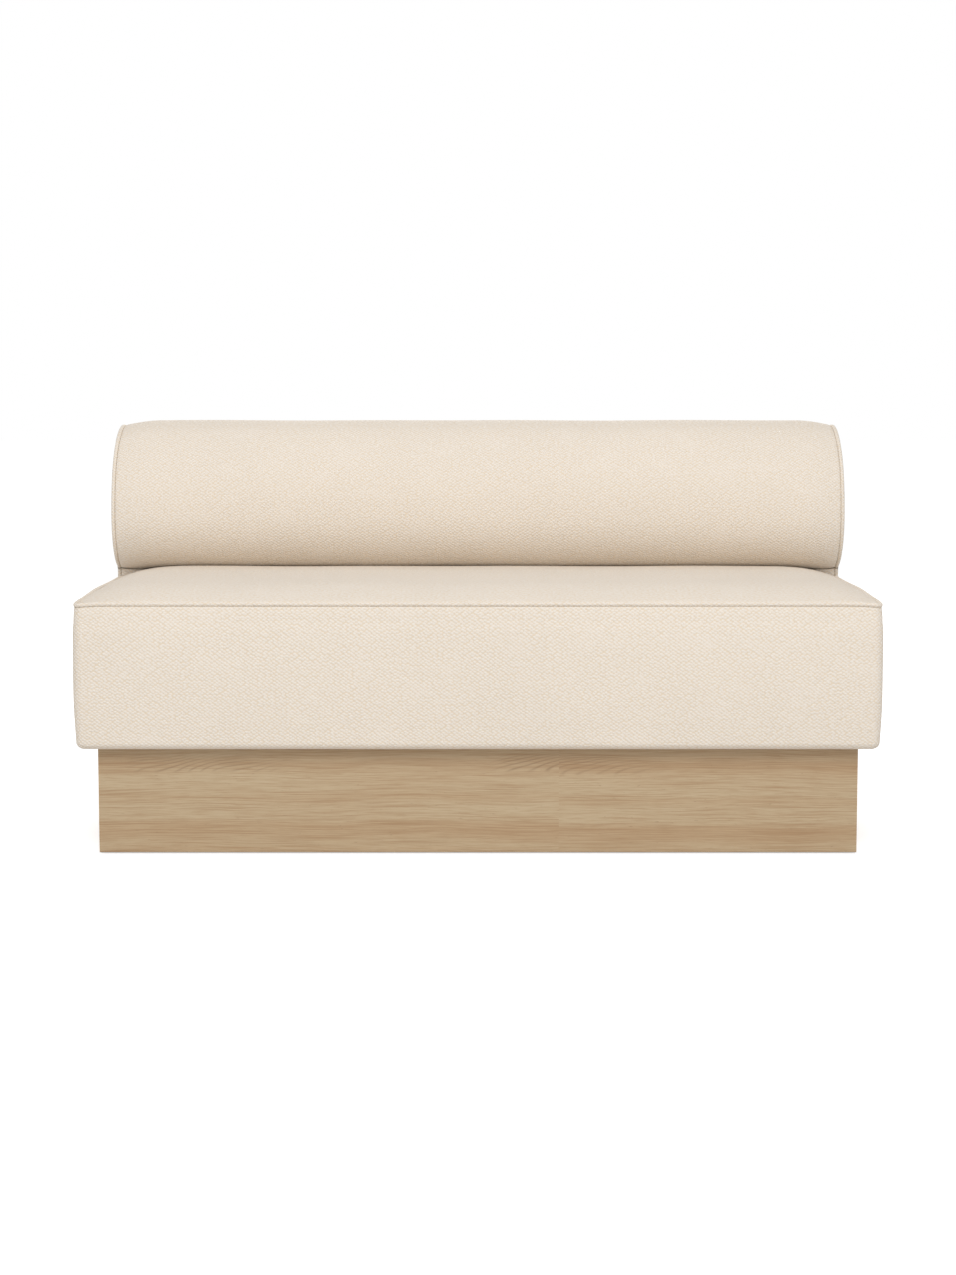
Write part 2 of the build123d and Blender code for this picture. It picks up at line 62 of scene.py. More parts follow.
def placeCamera(setup):
    data = bpy.data.cameras.new("camera")
    data.sensor_width = setup["film"]
    data.lens = setup["film"] * setup["focalPixels"] / setup["frameHeight"]
    camera = bpy.data.objects.new("camera", data)
    camera.location = setup["place"]
    camera.rotation_euler = (radians(90 - setup["tiltDown"]), 0, 0)
    bpy.context.scene.collection.objects.link(camera)
    bpy.context.scene.camera = camera


placeCamera(cameraSetup)
print("camera placed")


# Meshes laid out as a net of rows and columns, each point with its place in the flat cloth


def netMesh(name, net, cloth, ring=False):
    net = np.asarray(net, float)
    rows, columns = net.shape[:2]
    faces = []
    for start in range(0, (rows - 1) * columns, columns):
        for c in range(columns if ring else columns - 1):
            d = (c + 1) % columns
            faces.append((start + c, start + d, start + columns + d, start + columns + c))
    return clothMesh(name, net.reshape(-1, 3), faces, np.asarray(cloth, float).reshape(-1, 2))


def clothMesh(name, points, faces, cloth):
    mesh = bpy.data.meshes.new(name)
    mesh.from_pydata([tuple(p) for p in points], [], faces)
    place = mesh.attributes.new("weave", "FLOAT_VECTOR", "POINT")
    flat = np.zeros((len(points), 3))
    flat[:, :2] = cloth
    place.data.foreach_set("vector", flat.ravel())
    mesh.shade_smooth()
    piece = bpy.data.objects.new(name, mesh)
    bpy.context.scene.collection.objects.link(piece)
    return piece


def addThickness(piece, thickness):
    layer = piece.modifiers.new("thickness", "SOLIDIFY")
    layer.thickness = thickness
    layer.offset = -1


# Two waves across each other, each bent by another one, so that nothing repeats
rippleWaves = [
    {"tight": 2.1, "start": 0.0, "bend": 1.3, "bendTight": 1.7, "bendStart": 0.4},
    {"tight": 2.6, "start": 0.9, "bend": 1.1, "bendTight": 1.3, "bendStart": 2.0},
]


# Soft unevenness of stuffed cloth, from -1 to 1
def ripple(x, y, size):
    total = 0
    for w, (run, cross) in zip(rippleWaves, [(x, y), (y, x)]):
        bend = w["bend"] * np.sin(cross / size * w["bendTight"] + w["bendStart"])
        total = total + np.sin(run / size * w["tight"] + bend + w["start"])
    return total / 2


# Places from the first stop to the last, about a step apart, with every stop among them
def spread(stops, step):
    places = [stops[0]]
    for a, b in zip(stops, stops[1:]):
        count = max(1, round(abs(b - a) / step))
        places += [a + (b - a) * (i + 1) / count for i in range(count)]
    return places


# How far along a line each of its points lies
def pathLength(line):
    return np.concatenate([[0], np.cumsum(np.linalg.norm(np.diff(line, axis=0), axis=1))])


# Seat block: what its pieces share

seatLow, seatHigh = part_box("seat_cover_band")
seat = {
    "sideX": seatHigh.x + 4.6 * mm,  # half its length, where the cloth is fullest
    "frontY": seatLow.y,
    "rearY": seatHigh.y + 6.5 * mm,  # pressed against the upright
    "underZ": seatLow.z,
    "seamZ": 514.0 * mm,  # at the corners
    "seamLift": 4.0 * mm,  # how much higher the seam runs between the corners
    "seamLiftReach": 70 * mm,
    "frontCorner": 22 * mm,
    "rearCorner": 5 * mm,
    "leastCorner": 1.5 * mm,  # of the hem's rows, which run further in
    "cornerStep": 3 * mm,
    "cornerPoints": 4,  # at least
    "sideSwell": 2.1 * mm,  # how far the short sides bulge
    "sideSwellPower": 8,  # the higher, the nearer to a short side the bulge begins
    "sideSwellY": -80 * mm,
    "sideSwellReach": 140 * mm,
    "sideEndShare": 0.35,  # how far a short side's ends draw in, as a share of its bulge
    "sideLift": 1.3 * mm,  # how much higher the seam runs over the bulge
    "sideLiftReach": 120 * mm,
    "stitchPitch": 11 * mm,
    "stitchInset": 13.2 * mm,  # the stitched line, in from the side and up from the seam
    "stitchUp": 8.2 * mm,
    "knotPitch": 5.3 * mm,
    "step": 9 * mm,
    "cloth": 2 * mm,
}


# How full the short sides are there: 1 where they are fullest, a little under 0 at their ends
def sideFullness(s, y):
    drawn = s["sideEndShare"]
    return (1 + drawn) * np.exp(-(((y - s["sideSwellY"]) / s["sideSwellReach"]) ** 2)) - drawn


def swellSide(s, x, y):
    nearSide = (np.abs(x) / s["sideX"]) ** s["sideSwellPower"]
    return x + np.sign(x) * nearSide * s["sideSwell"] * sideFullness(s, y)


# The seat's four corners in plan, further in by so much: where they are, how round, where they start
def planCorners(s, inset):
    side, front, rear = s["sideX"] - inset, s["frontY"] + inset, s["rearY"] - inset
    frontR = max(s["frontCorner"] - inset, s["leastCorner"])
    rearR = max(s["rearCorner"] - inset, s["leastCorner"])
    return [(-side, rear, rearR, 90), (-side, front, frontR, 180), (side, front, frontR, 270),
            (side, rear, rearR, 0)]


# Points round the seat's plan with their outward normals and distances, from the middle of the rear.
# There are as many however far in they run, so that rows join into a net
def seatPath(s, step, inset=0):
    points, normals = [], []

    def run(a, b, length, normal):
        count = max(2, round(length / step))
        for i in range(count):
            points.append((a[0] + (b[0] - a[0]) * i / count, a[1] + (b[1] - a[1]) * i / count))
            normals.append(normal)

    def bend(x, y, r, turn):
        out = (cos(radians(turn)), sin(radians(turn)))
        after = (cos(radians(turn + 90)), sin(radians(turn + 90)))
        centre = (x - r * (out[0] + after[0]), y - r * (out[1] + after[1]))
        start = (centre[0] + r * out[0], centre[1] + r * out[1])
        return centre, start, (centre[0] + r * after[0], centre[1] + r * after[1]), out

    def apart(a, b):
        return sqrt((b[0] - a[0]) ** 2 + (b[1] - a[1]) ** 2)

    here, plain = (0, s["rearY"] - inset), (0, s["rearY"])
    for corner, outer in zip(planCorners(s, inset), planCorners(s, 0)):
        centre, start, end, out = bend(*corner)
        _, outerStart, outerEnd, _ = bend(*outer)
        run(here, start, apart(plain, outerStart), out)
        r, turn = corner[2:]
        count = max(s["cornerPoints"], round(outer[2] * pi / 2 / min(step, s["cornerStep"])))
        for i in range(count):
            a = radians(turn + 90 * i / count)
            points.append((centre[0] + r * cos(a), centre[1] + r * sin(a)))
            normals.append((cos(a), sin(a)))
        here, plain = end, outerEnd
    run(here, (0, s["rearY"] - inset), apart(plain, (0, s["rearY"])), (0, 1))
    points, normals = np.array(points), np.array(normals)
    points[:, 0] = swellSide(s, points[:, 0], points[:, 1])
    return points, normals, pathLength(points)


# The seam runs a little higher away from the corners, where the filling pushes it up
def seamHeight(s, x, y):
    toSide = s["sideX"] - np.abs(x)
    awayFromSide = np.clip(toSide / s["seamLiftReach"], 0, 1)
    awayFromFront = np.clip((y - s["frontY"]) / s["seamLiftReach"], 0, 1)
    lift = s["seamLift"] * (1 - (1 - np.maximum(awayFromSide, awayFromFront)) ** 2)
    nearSide = np.clip(1 - toSide / s["sideLiftReach"], 0, 1) ** 2
    return s["seamZ"] + lift + s["sideLift"] * nearSide * sideFullness(s, y)


# The seat's band: its front, sides and rear, with the hem turned under the frame

bandCut = {
    "bellyZ": 400 * mm,  # where it is fullest
    "bellyRadius": 3000 * mm,
    "hemAcross": 18 * mm,  # the hem's turn
    "hemUp": 15 * mm,
    "hemPoints": 9,
    "hemFlat": 8 * mm,  # the level run after the turn
    "hemClear": 0.2 * mm,
    "hemWidth": 36 * mm,  # where the hem ends
    "hemEndUp": 1.2 * mm,
    "evenTo": 44 * mm,  # under the seam, where the even rows end and the curl begins
    # millimetres out from the side and down from the seam, where the band turns in
    "curl": [(-0.4, 34), (-0.8, 24), (-1.3, 15), (-1.9, 9), (-2.4, 5.5), (-2.8, 2.4), (-3.2, 1.1),
             (-3.8, 0.4), (-6.0, 0.0)],
    "rearPress": 0.85,  # how much of the bulge the upright presses flat, 1 for all of it
    "waveDepth": 0.8 * mm,
    "waveLong": 110 * mm,
    "waveFrom": 30 * mm,  # above the hem, where the unevenness begins
    "waveFade": 60 * mm,
}


# How far the band stands back from its fullest height
def sideBow(c, z):
    return -((z - c["bellyZ"]) ** 2) / (2 * c["bellyRadius"])


# The side of the seat from under its hem up into the seam: how far out, how high
def bandProfile(s, c):
    under, hemTop = s["underZ"], s["underZ"] + c["hemUp"]
    draw = sideBow(c, hemTop)
    profile = [(draw - c["hemWidth"], under + c["hemEndUp"]),
               (draw - c["hemAcross"] - c["hemFlat"], under + c["hemClear"])]
    for a in np.linspace(0, pi / 2, c["hemPoints"]):
        profile.append((draw - c["hemAcross"] * (1 - sin(a)), hemTop - c["hemUp"] * cos(a)))
    for z in spread([hemTop, c["bellyZ"], s["seamZ"] - c["evenTo"]], s["step"])[1:]:
        profile.append((sideBow(c, z), z))
    top = sideBow(c, s["seamZ"])
    return profile + [(top + out * mm, s["seamZ"] - down * mm) for out, down in c["curl"]]


def makeSeatBand(s, c):
    points, normals, along = seatPath(s, s["step"])
    forward = normals[:, ::-1] * [-1, 1]
    lift = seamHeight(s, points[:, 0], points[:, 1]) - s["seamZ"]
    free = 1 - c["rearPress"] * np.clip(normals[:, 1], 0, 1)  # the rear lies flat against the upright
    hemTop = s["underZ"] + c["hemUp"]
    profile = bandProfile(s, c)
    flat = pathLength(np.array(profile))
    net, cloth = [], []
    for (out, z), height in zip(profile, flat + s["seamZ"] - flat[-1]):
        rise = np.clip((z - c["bellyZ"]) / (s["seamZ"] - c["bellyZ"]), 0, 1)
        strength = min(1, max(0, (z - s["underZ"] - c["waveFrom"]) / c["waveFade"])) * (1 - rise) ** 0.5
        wave = c["waveDepth"] * strength * ripple(along, np.full(len(along), z), c["waveLong"])
        bow = sideBow(c, max(z, hemTop))
        if z < hemTop:  # turned under, with a mitre at each corner
            place = seatPath(s, s["step"], -out)[0] + normals * (bow * (free - 1))[:, None]
        else:
            place = points + normals * (out - bow + (bow + wave) * free)[:, None]
        ahead = np.sum((place - points) * forward, axis=1)
        net.append(np.column_stack([place, z + lift * rise]))
        cloth.append(np.column_stack([along + ahead, np.full(len(along), height)]))
    piece = netMesh("seatBandCover", net, cloth, ring=True)
    addThickness(piece, s["cloth"])
    return piece


# The seat's lip: the folded seam round its top, sewn down along its inner edge

seatFold = {
    # millimetres out and up, from deep in the seam, out, over the top and down past the stitching
    "fold": [(-9.0, 0.1), (-6.6, 0.1), (-5.3, 0.4), (-4.2, 1.5), (-3.5, 3.1), (-3.2, 5.0), (-3.6, 6.8),
             (-4.8, 8.1), (-6.7, 8.9), (-8.8, 9.1), (-10.8, 8.9), (-12.2, 8.4), (-13.2, 8.2), (-14.2, 8.4),
             (-15.6, 9.4)],
    "stitchDent": 1.3 * mm,  # how deep each stitch pulls the cloth, and how far across
    "stitchDentReach": 3 * mm,
    "foldDent": 0.35 * mm,  # how far it pulls the fold down, above so many millimetres
    "foldDentAbove": 3,
    "weaveFrom": 12 * mm,  # where the weave starts, so that it meets the top's
    "cloth": 1.2 * mm,
}


# The pitch nearest to the wanted one that goes a whole number of times round the seat
def evenPitch(along, pitch):
    return along[-1] / round(along[-1] / pitch)


def makeSeatLip(s, c):
    points, normals, along = seatPath(s, s["stitchPitch"] / 4)
    base = seamHeight(s, points[:, 0], points[:, 1])
    pull = 0.5 + 0.5 * np.cos(2 * pi * along / evenPitch(along, s["stitchPitch"]))
    net, cloth = [], []
    for (out, up), turned in zip(c["fold"], pathLength(c["fold"]) * mm):
        nearStitch = max(0, 1 - abs(out * mm + s["stitchInset"]) / c["stitchDentReach"])
        dent = c["stitchDent"] * nearStitch * pull
        if up > c["foldDentAbove"]:
            dent = dent + c["foldDent"] * pull
        net.append(np.column_stack([points + normals * (out * mm), base + up * mm - dent]))
        cloth.append(points + normals * (c["weaveFrom"] - turned))
    piece = netMesh("seatSeamLip", net, cloth, ring=True)
    addThickness(piece, c["cloth"])
    return piece


# The seat's top: a crown that rises from the lip and runs in under the roll

crown = {
    "rise": 26.6 * mm,
    "frontReach": 160 * mm,  # how far in from the front and the sides it still rises
    "sideReach": 175 * mm,
    "frontShare": 0.06,  # of the rise that is there at the front edge
    "rearDip": 4 * mm,
    "rearDipReach": 55 * mm,
    "rollGap": 1.5 * mm,  # the roll rests on it, and this stays free between them
    "underLip": 1.5 * mm,  # how far its edge goes under the lip
    "rearIn": 1 * mm,
    "edgeRows": [0, 1.5, 3, 5, 8, 12, 17, 23, 30],  # millimetres in from the edge
    "edgeWide": 3 * mm,  # the edge, which sinks under the lip
    "edgeSink": 2.2 * mm,
    "unevenDepth": 0.9 * mm,
    "unevenLong": 120 * mm,
}


def crownHeight(s, c, x, y):
    inset, least = s["stitchInset"], c["frontShare"]
    fromSide = 1 - (1 - np.clip((s["sideX"] - inset - np.abs(x)) / c["sideReach"], 0, 1)) ** 3
    fromFront = 1 - (1 - np.clip((y - s["frontY"] - inset) / c["frontReach"], 0, 1)) ** 2
    toRear = np.clip(1 - (s["rearY"] - y) / c["rearDipReach"], 0, 1)
    rise = c["rise"] * fromSide * (least + (1 - least) * fromFront)
    return seamHeight(s, x, y) + s["stitchUp"] + rise - c["rearDip"] * toRear**2 * fromSide


def makeSeatTop(s, c, b):
    inset = s["stitchInset"] - c["underLip"]
    side, front, rear = s["sideX"] - inset, s["frontY"] + inset, s["rearY"] - c["rearIn"]
    fine = [f * mm for f in c["edgeRows"]]
    across = [-side + f for f in fine] + spread([-side + fine[-1], side - fine[-1]], s["step"])[1:-1]
    across += [side - f for f in reversed(fine)]
    deep = [front + f for f in fine] + spread([front + fine[-1], rear], s["step"])[1:]
    x, y = np.meshgrid(across, deep)
    corner = s["frontCorner"] - inset  # the square net is drawn to a round at the front corners
    inX = np.clip((np.abs(x) - (side - corner)) / corner, 0, 1)
    inY = np.clip((front + corner - y) / corner, 0, 1)
    roundX = np.sign(x) * (np.minimum(np.abs(x), side - corner) + corner * inX * np.sqrt(1 - inY**2 / 2))
    roundX = swellSide(s, roundX, y)
    roundY = np.maximum(y, front + corner) - corner * inY * np.sqrt(1 - inX**2 / 2)
    edge = np.minimum(np.minimum(side - np.abs(x), y - front) / c["edgeWide"], 1)
    z = crownHeight(s, c, roundX, roundY) - c["edgeSink"] * (1 - edge) ** 2
    z = z + c["unevenDepth"] * ripple(roundX, roundY, c["unevenLong"]) * np.clip(edge, 0, 1)
    z = np.minimum(z, underRoll(b, roundY) - c["rollGap"])
    piece = netMesh("seatTopCover", np.dstack([roundX, roundY, z]), np.dstack([roundX, roundY]))
    addThickness(piece, s["cloth"])
    return piece


# Back: an oval roll on an upright, one long cover between two seamed ends. What its pieces share

backLow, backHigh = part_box("back_cover_main")
back = {
    "rearY": backHigh.y,
    "legY": 256 * mm,  # the upright's front
    "underZ": backLow.z,
    "axisY": 335 * mm,  # the roll's middle, and how far it reaches forward, up and down from there
    "axisZ": 662 * mm,
    "reach": 166 * mm,
    "rise": 208 * mm,
    "drop": 130 * mm,
    "rearRadius": 65 * mm,
    "tightShare": 0.8,  # how tightly the roll turns over its top, and below its nose
    "underShare": 0.93,
    "proud": 10.5 * mm,  # how far the roll swells out between its ends
    "hemRadius": 12 * mm,
    "hemWidth": 36 * mm,
    "hemEndUp": 0.8 * mm,
    "creaseWidth": 2.6 * mm,  # where the roll's cloth is sewn down to the upright's
    "creaseDepth": 10 * mm,
    "creaseLead": 6 * mm,
    "seamX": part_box("back_right_seam_lip")[0].x + 1.5 * mm,
    "drawFrom": 770 * mm,  # above this the ends draw in, the seam more than the lip outside it
    "drawReach": 110 * mm,
    "seamDraw": 7.0 * mm,
    "lipDraw": 4.5 * mm,
    "knotPitch": 5.3 * mm,
    "step": 9 * mm,
    "cloth": 2 * mm,
}


# Radii of a quarter oval's two arcs, and the angle at which they meet, from its long axis
def ovalArcs(short, long, share):
    tight = share * short
    broad = (short**2 + (long - tight) ** 2 - tight**2) / (2 * (short - tight))
    return tight, broad, atan2(broad - short, long - tight)


# The back's section in Y and Z from under its front, up over the roll and down the rear. It has the same
# number of points whatever proud and out are, so that sections join into a net
def backOutline(b, proud, out, step):
    counts = [max(3, round(length / step)) for curve, length in backSegments(b, 0.0, 0.0)]
    curves = [curve for curve, length in backSegments(b, proud, out)]
    section = []
    for curve, count in zip(curves, counts):
        section += [curve(i / count) for i in range(count)]
    return np.array(section + [curves[-1](1.0)])


def backSegments(b, proud, out):
    leg, rear = b["legY"] - out, b["rearY"] + out
    low = b["underZ"] - min(0, out)
    hem = b["hemRadius"]
    reach, rise = b["reach"] + proud + out, b["rise"] + proud + out
    drop, rearR = b["drop"] + out, b["rearRadius"] + out
    axisY, axisZ = b["axisY"], b["axisZ"]
    top = axisZ + rise

    def arc(cy, cz, r, a0, a1):
        turn = a1 - a0
        return lambda t: (cy + r * cos(a0 + turn * t), cz + r * sin(a0 + turn * t)), abs(r * turn)

    def line(p, q):
        across, rising = q[0] - p[0], q[1] - p[1]
        return lambda t: (p[0] + across * t, p[1] + rising * t), sqrt(across**2 + rising**2)

    noseR, underR, chin = ovalArcs(drop, reach, b["underShare"])
    topR, sideR, shoulder = ovalArcs(reach, rise, b["tightShare"])
    underZ = axisZ - drop + underR
    legTurn = -pi / 2 - (pi / 2 - acos((axisY - leg) / underR))
    legTop = underZ + underR * sin(legTurn)
    creaseLow = legTop - b["creaseWidth"]
    creaseEnd = (leg + b["creaseDepth"], legTop - b["creaseWidth"] / 3)
    return [
        line((leg + b["hemWidth"], low + b["hemEndUp"]), (leg + hem, low)),
        arc(leg + hem, low + hem, hem, -pi / 2, -pi),
        line((leg, low + hem), (leg, creaseLow - b["creaseLead"])),
        line((leg, creaseLow - b["creaseLead"]), (leg, creaseLow)),
        line((leg, creaseLow), creaseEnd),
        line(creaseEnd, (leg, legTop)),
        arc(axisY, underZ, underR, legTurn, -pi + chin),
        arc(axisY - (reach - noseR), axisZ, noseR, -pi + chin, -pi),
        arc(axisY - reach + sideR, axisZ, sideR, pi, pi / 2 + shoulder),
        arc(axisY, axisZ + rise - topR, topR, pi / 2 + shoulder, pi / 2),
        arc(rear - rearR, top - rearR, rearR, pi / 2, 0),
        line((rear, top - rearR), (rear, low + hem)),
        arc(rear - hem, low + hem, hem, 0, -pi / 2),
        line((rear - hem, low), (rear - b["hemWidth"], low + b["hemEndUp"])),
    ]


# The height of the roll's underside, and of its top where nothing is above
def underRoll(b, y):
    reach, drop = b["reach"] + b["proud"], b["drop"]
    noseR, underR, chin = ovalArcs(drop, reach, b["underShare"])
    away = np.abs(b["axisY"] - y)
    broad = b["axisZ"] - drop + underR - np.sqrt(underR**2 - np.minimum(away, underR) ** 2)
    inNose = np.clip(away - (reach - noseR), -noseR, noseR)
    tight = b["axisZ"] - np.sqrt(noseR**2 - inNose**2)
    free = b["axisZ"] + b["rise"]
    return np.where(away < underR * cos(chin), broad, np.where(away < reach, tight, free))


# How far an end draws in at that height
def endDraw(b, z, amount):
    return amount * np.clip((z - b["drawFrom"]) / b["drawReach"], 0, None) ** 2


# The name of a piece at an end of the back, -1 for the left one and 1 for the right one
def endName(side, piece):
    return "back" + ("Left" if side < 0 else "Right") + piece


# The back's main cover, from hem to hem over the roll

rollCut = {
    "easeX": 735 * mm,  # where the roll starts to draw in towards its end seam
    "endRows": [36, 26, 18, 12, 8, 5, 3, 1.8, 1.0, 0.6],  # millimetres from the end seam
    "grooveWide": 7 * mm,
    "grooveDepth": 1.7 * mm,
    "groovePower": 2.6,  # the higher, the closer to the seam the groove turns down
    "drawPower": 8,  # the higher, the nearer to its ends the cover draws in
    "unevenDepth": 0.8 * mm,
    "unevenLong": 120 * mm,
    "unevenFade": 60 * mm,  # towards the end seams
    "unevenAbove": 300 * mm,
}


def makeBackCover(b, c):
    flat = pathLength(backOutline(b, b["proud"], 0, b["step"]))
    ends = [b["seamX"] - d * mm for d in c["endRows"]]
    half = spread([0, c["easeX"], ends[0]], b["step"]) + ends[1:]
    net, cloth = [], []
    for x in list(reversed(half)) + [-x for x in half[1:]]:
        toEnd = np.clip((abs(x) - c["easeX"]) / (b["seamX"] - c["easeX"]), 0, 1)
        inGroove = max(0, 1 - (b["seamX"] - abs(x) - c["endRows"][-1] * mm) / c["grooveWide"])
        tuck = -c["grooveDepth"] * inGroove ** c["groovePower"]
        section = backOutline(b, b["proud"] * cos(pi / 2 * toEnd), tuck, b["step"])
        net.append(np.column_stack([np.full(len(section), x), section]))
        cloth.append(np.column_stack([np.full(len(section), x), flat]))
    net = np.array(net)
    x, z = net[:, :, 0], net[:, :, 2]
    swell = c["unevenDepth"] * ripple(x, np.array(cloth)[:, :, 1], c["unevenLong"])
    swell *= np.clip((b["seamX"] - np.abs(x)) / c["unevenFade"], 0, 1) * (z > c["unevenAbove"])
    outward = np.gradient(net, axis=1)[:, :, [0, 2, 1]] * [0, -1, 1]  # the run turned by a quarter
    outward /= np.linalg.norm(outward, axis=2, keepdims=True)
    net = net + outward * swell[:, :, None]
    x, z = net[:, :, 0], net[:, :, 2]
    net[:, :, 0] = x - np.sign(x) * (np.abs(x) / b["seamX"]) ** c["drawPower"] * endDraw(b, z, b["seamDraw"])
    piece = netMesh("backMainCover", net, cloth)
    addThickness(piece, b["cloth"])
    return piece


# The folded seam round an end

endFold = {
    # millimetres along the back and out from its outline: out of the groove, over the edge, in to the end
    "fold": [(-0.6, -3.4), (-0.2, -2.2), (0.5, -1.2), (1.4, -0.3), (2.7, 0.5), (4.1, 0.8), (5.6, 0.2),
             (7.0, -1.2), (8.0, -3.1), (8.4, -5.2), (8.0, -7.2), (7.0, -9.0), (5.4, -10.2), (3.5, -10.7)],
    "knotPull": 0.25 * mm,  # how far each knot pulls the cloth in
    "knotPullTo": 3,  # millimetres along the back, past which this share of the pull is left
    "knotPullShare": 0.3,
    "drawTo": 6,  # millimetres along the back, where the seam's draw has become the lip's
    "cloth": 1.2 * mm,
}


def makeEndLip(b, c, side):
    step = b["knotPitch"] / 2
    flat = pathLength(backOutline(b, 0, 0, step))
    knots = np.cos(2 * pi * flat / b["knotPitch"])
    net, cloth = [], []
    for (along, out), turned in zip(c["fold"], pathLength(c["fold"]) * mm):
        section = backOutline(b, 0, out * mm, step)
        pull = c["knotPull"] * knots * (1 if along < c["knotPullTo"] else c["knotPullShare"])
        draw = b["seamDraw"] + (b["lipDraw"] - b["seamDraw"]) * min(1, max(0, along / c["drawTo"]))
        x = side * (b["seamX"] + along * mm - pull - endDraw(b, section[:, 1], draw))
        net.append(np.column_stack([x, section]))
        cloth.append(np.column_stack([np.full(len(section), side * (b["seamX"] + turned)), flat]))
    piece = netMesh(endName(side, "SeamLip"), net[::-side], cloth[::-side])
    addThickness(piece, c["cloth"])
    return piece


# The flat end, slightly domed by its foam, laid out in level rows from the hem up to the top

endPanel = {
    "inset": 9.5 * mm,  # how far inside the back's outline its edge lies, under the lip
    "outlineStep": 4 * mm,
    "waist": (540 * mm, 575 * mm),  # where the upright meets the roll
    "hemRows": [0, 0.4, 1.5, 3.5, 6.5, 10],  # millimetres up from the hem and down from the top
    "topRows": [12, 8, 5, 2.5, 1, 0.3],
    "legRows": 34,  # numbers of rows from the hem's to the waist, across it and above it
    "waistRows": 13,
    "rollRows": 35,
    "columns": 29,
    "out": 3.6 * mm,  # how far its edge stands out from the seam, and its middle from its edge
    "domeRise": 4.8 * mm,
    "domeReach": 45 * mm,
    "domePower": 2.4,
    "unevenDepth": 0.4 * mm,
    "unevenLong": 100 * mm,
    "straightTo": 24 * mm,  # over the hem's round, below which its front and rear run straight down
    "hemClear": 0.2 * mm,
    "hemTurnUp": 5 * mm,  # the hem's turn
    "hemTurnIn": 4.5 * mm,
    "hemEndUp": 1 * mm,
    "hemShorter": 4 * mm,  # than the main cover's
}


def makeEndPanel(b, c, side):
    section = backOutline(dict(b, creaseDepth=0), 0, -c["inset"], c["outlineStep"])
    peak = int(np.argmax(section[:, 1]))
    front, rear = section[:peak + 1], section[peak:][::-1]
    front, rear = (edge[np.argsort(edge[:, 1], kind="stable")] for edge in (front, rear))
    low, high = b["underZ"] + c["hemClear"], section[peak, 1]
    hem = [low + d * mm for d in c["hemRows"]]
    top = [high - d * mm for d in c["topRows"]]
    legTop, rollLow = c["waist"]
    heights = np.concatenate([hem, np.linspace(hem[-1], legTop, c["legRows"])[1:-1],
                              np.linspace(legTop, rollLow, c["waistRows"]),
                              np.linspace(rollLow, top[0], c["rollRows"])[1:-1], top])
    shares = 0.5 - 0.5 * np.cos(np.linspace(0, pi, c["columns"]))
    net, cloth = [], []
    for z, turnedIn in [(low + c["hemEndUp"], b["hemWidth"] - c["hemShorter"])] + [(z, 0) for z in heights]:
        straight = max(z, b["underZ"] + c["straightTo"])
        yFront, yRear = (np.interp(straight, edge[:, 1], edge[:, 0]) for edge in (front, rear))
        y = yFront + (yRear - yFront) * shares
        near = np.minimum(np.minimum(y - yFront, yRear - y), min(z - low, high - z))
        dome = 1 - (1 - np.clip(near / c["domeReach"], 0, 1)) ** c["domePower"]
        x = b["seamX"] + c["out"] + c["domeRise"] * dome
        x = x + c["unevenDepth"] * ripple(y, np.full(len(y), z), c["unevenLong"]) * dome
        under = min(1, max(0, 1 - (z - low) / c["hemTurnUp"]))
        x -= endDraw(b, z, b["lipDraw"]) + c["hemTurnIn"] * (1 - sqrt(1 - under**2))
        net.append(np.column_stack([side * (x - turnedIn), y, np.full(len(y), z)]))
        cloth.append(np.column_stack([y, np.full(len(y), z - turnedIn)]))
    piece = netMesh(endName(side, "EndCover"), np.array(net)[:, ::side], np.array(cloth)[:, ::side])
    addThickness(piece, b["cloth"])
    return piece


seatBand = makeSeatBand(seat, bandCut)
seatLip = makeSeatLip(seat, seatFold)
seatTop = makeSeatTop(seat, crown, back)
print("seat covered")

backCover = makeBackCover(back, rollCut)
backLips = [makeEndLip(back, endFold, side) for side in (-1, 1)]
backEnds = [makeEndPanel(back, endPanel, side) for side in (-1, 1)]
print("back covered")


# Sewing thread: short lengths whose ends dip into the cloth

topStitch = {"long": 9.4 * mm, "thick": 1.0 * mm, "dip": 1.1 * mm}
seamKnot = {
    "long": 3.4 * mm,
    "thick": 1.5 * mm,
    "dip": 0.5 * mm,
    "deep": 5.3 * mm,  # how deep in the seam it shows, and how far above it
    "up": 0.4 * mm,
    "lean": 1.2,  # how far it runs up, for each step along
}
endKnot = {
    "long": 3.2 * mm,
    "thick": 1.4 * mm,
    "dip": 0.5 * mm,
    "deep": 1.3 * mm,
    "lean": 0.5,  # how far it runs along the seam, for each step across
    "pathStep": 2 * mm,
    "lookAhead": 1 * mm,
}
threadSides = 6
# along and across a length of thread, as shares of half its length and thickness
threadShares = [(-1, 0.4), (-0.7, 0.85), (0, 1), (0.7, 0.85), (1, 0.4)]


# centres, the way each thread runs and the way out of the cloth, one row for each stitch
def makeThreads(name, t, centres, runs, ups):
    points, faces = [], []
    for centre, run, up in zip(centres, runs, ups):
        first = len(points)
        across = np.cross(run, up)
        for place, girth in threadShares:
            middle = centre + run * place * t["long"] / 2 - up * t["dip"] * place**2
            for i in range(threadSides):
                a = 2 * pi * i / threadSides
                points.append(middle + (across * cos(a) + up * sin(a)) * girth * t["thick"] / 2)
        rings = np.arange(first, len(points)).reshape(-1, threadSides).tolist()
        faces += [rings[0], rings[-1][::-1]]
        for low, high in zip(rings, rings[1:]):
            for i in range(threadSides):
                j = (i + 1) % threadSides
                faces.append((low[i], high[i], high[j], low[j]))
    return clothMesh(name, points, faces, np.zeros((len(points), 2)))


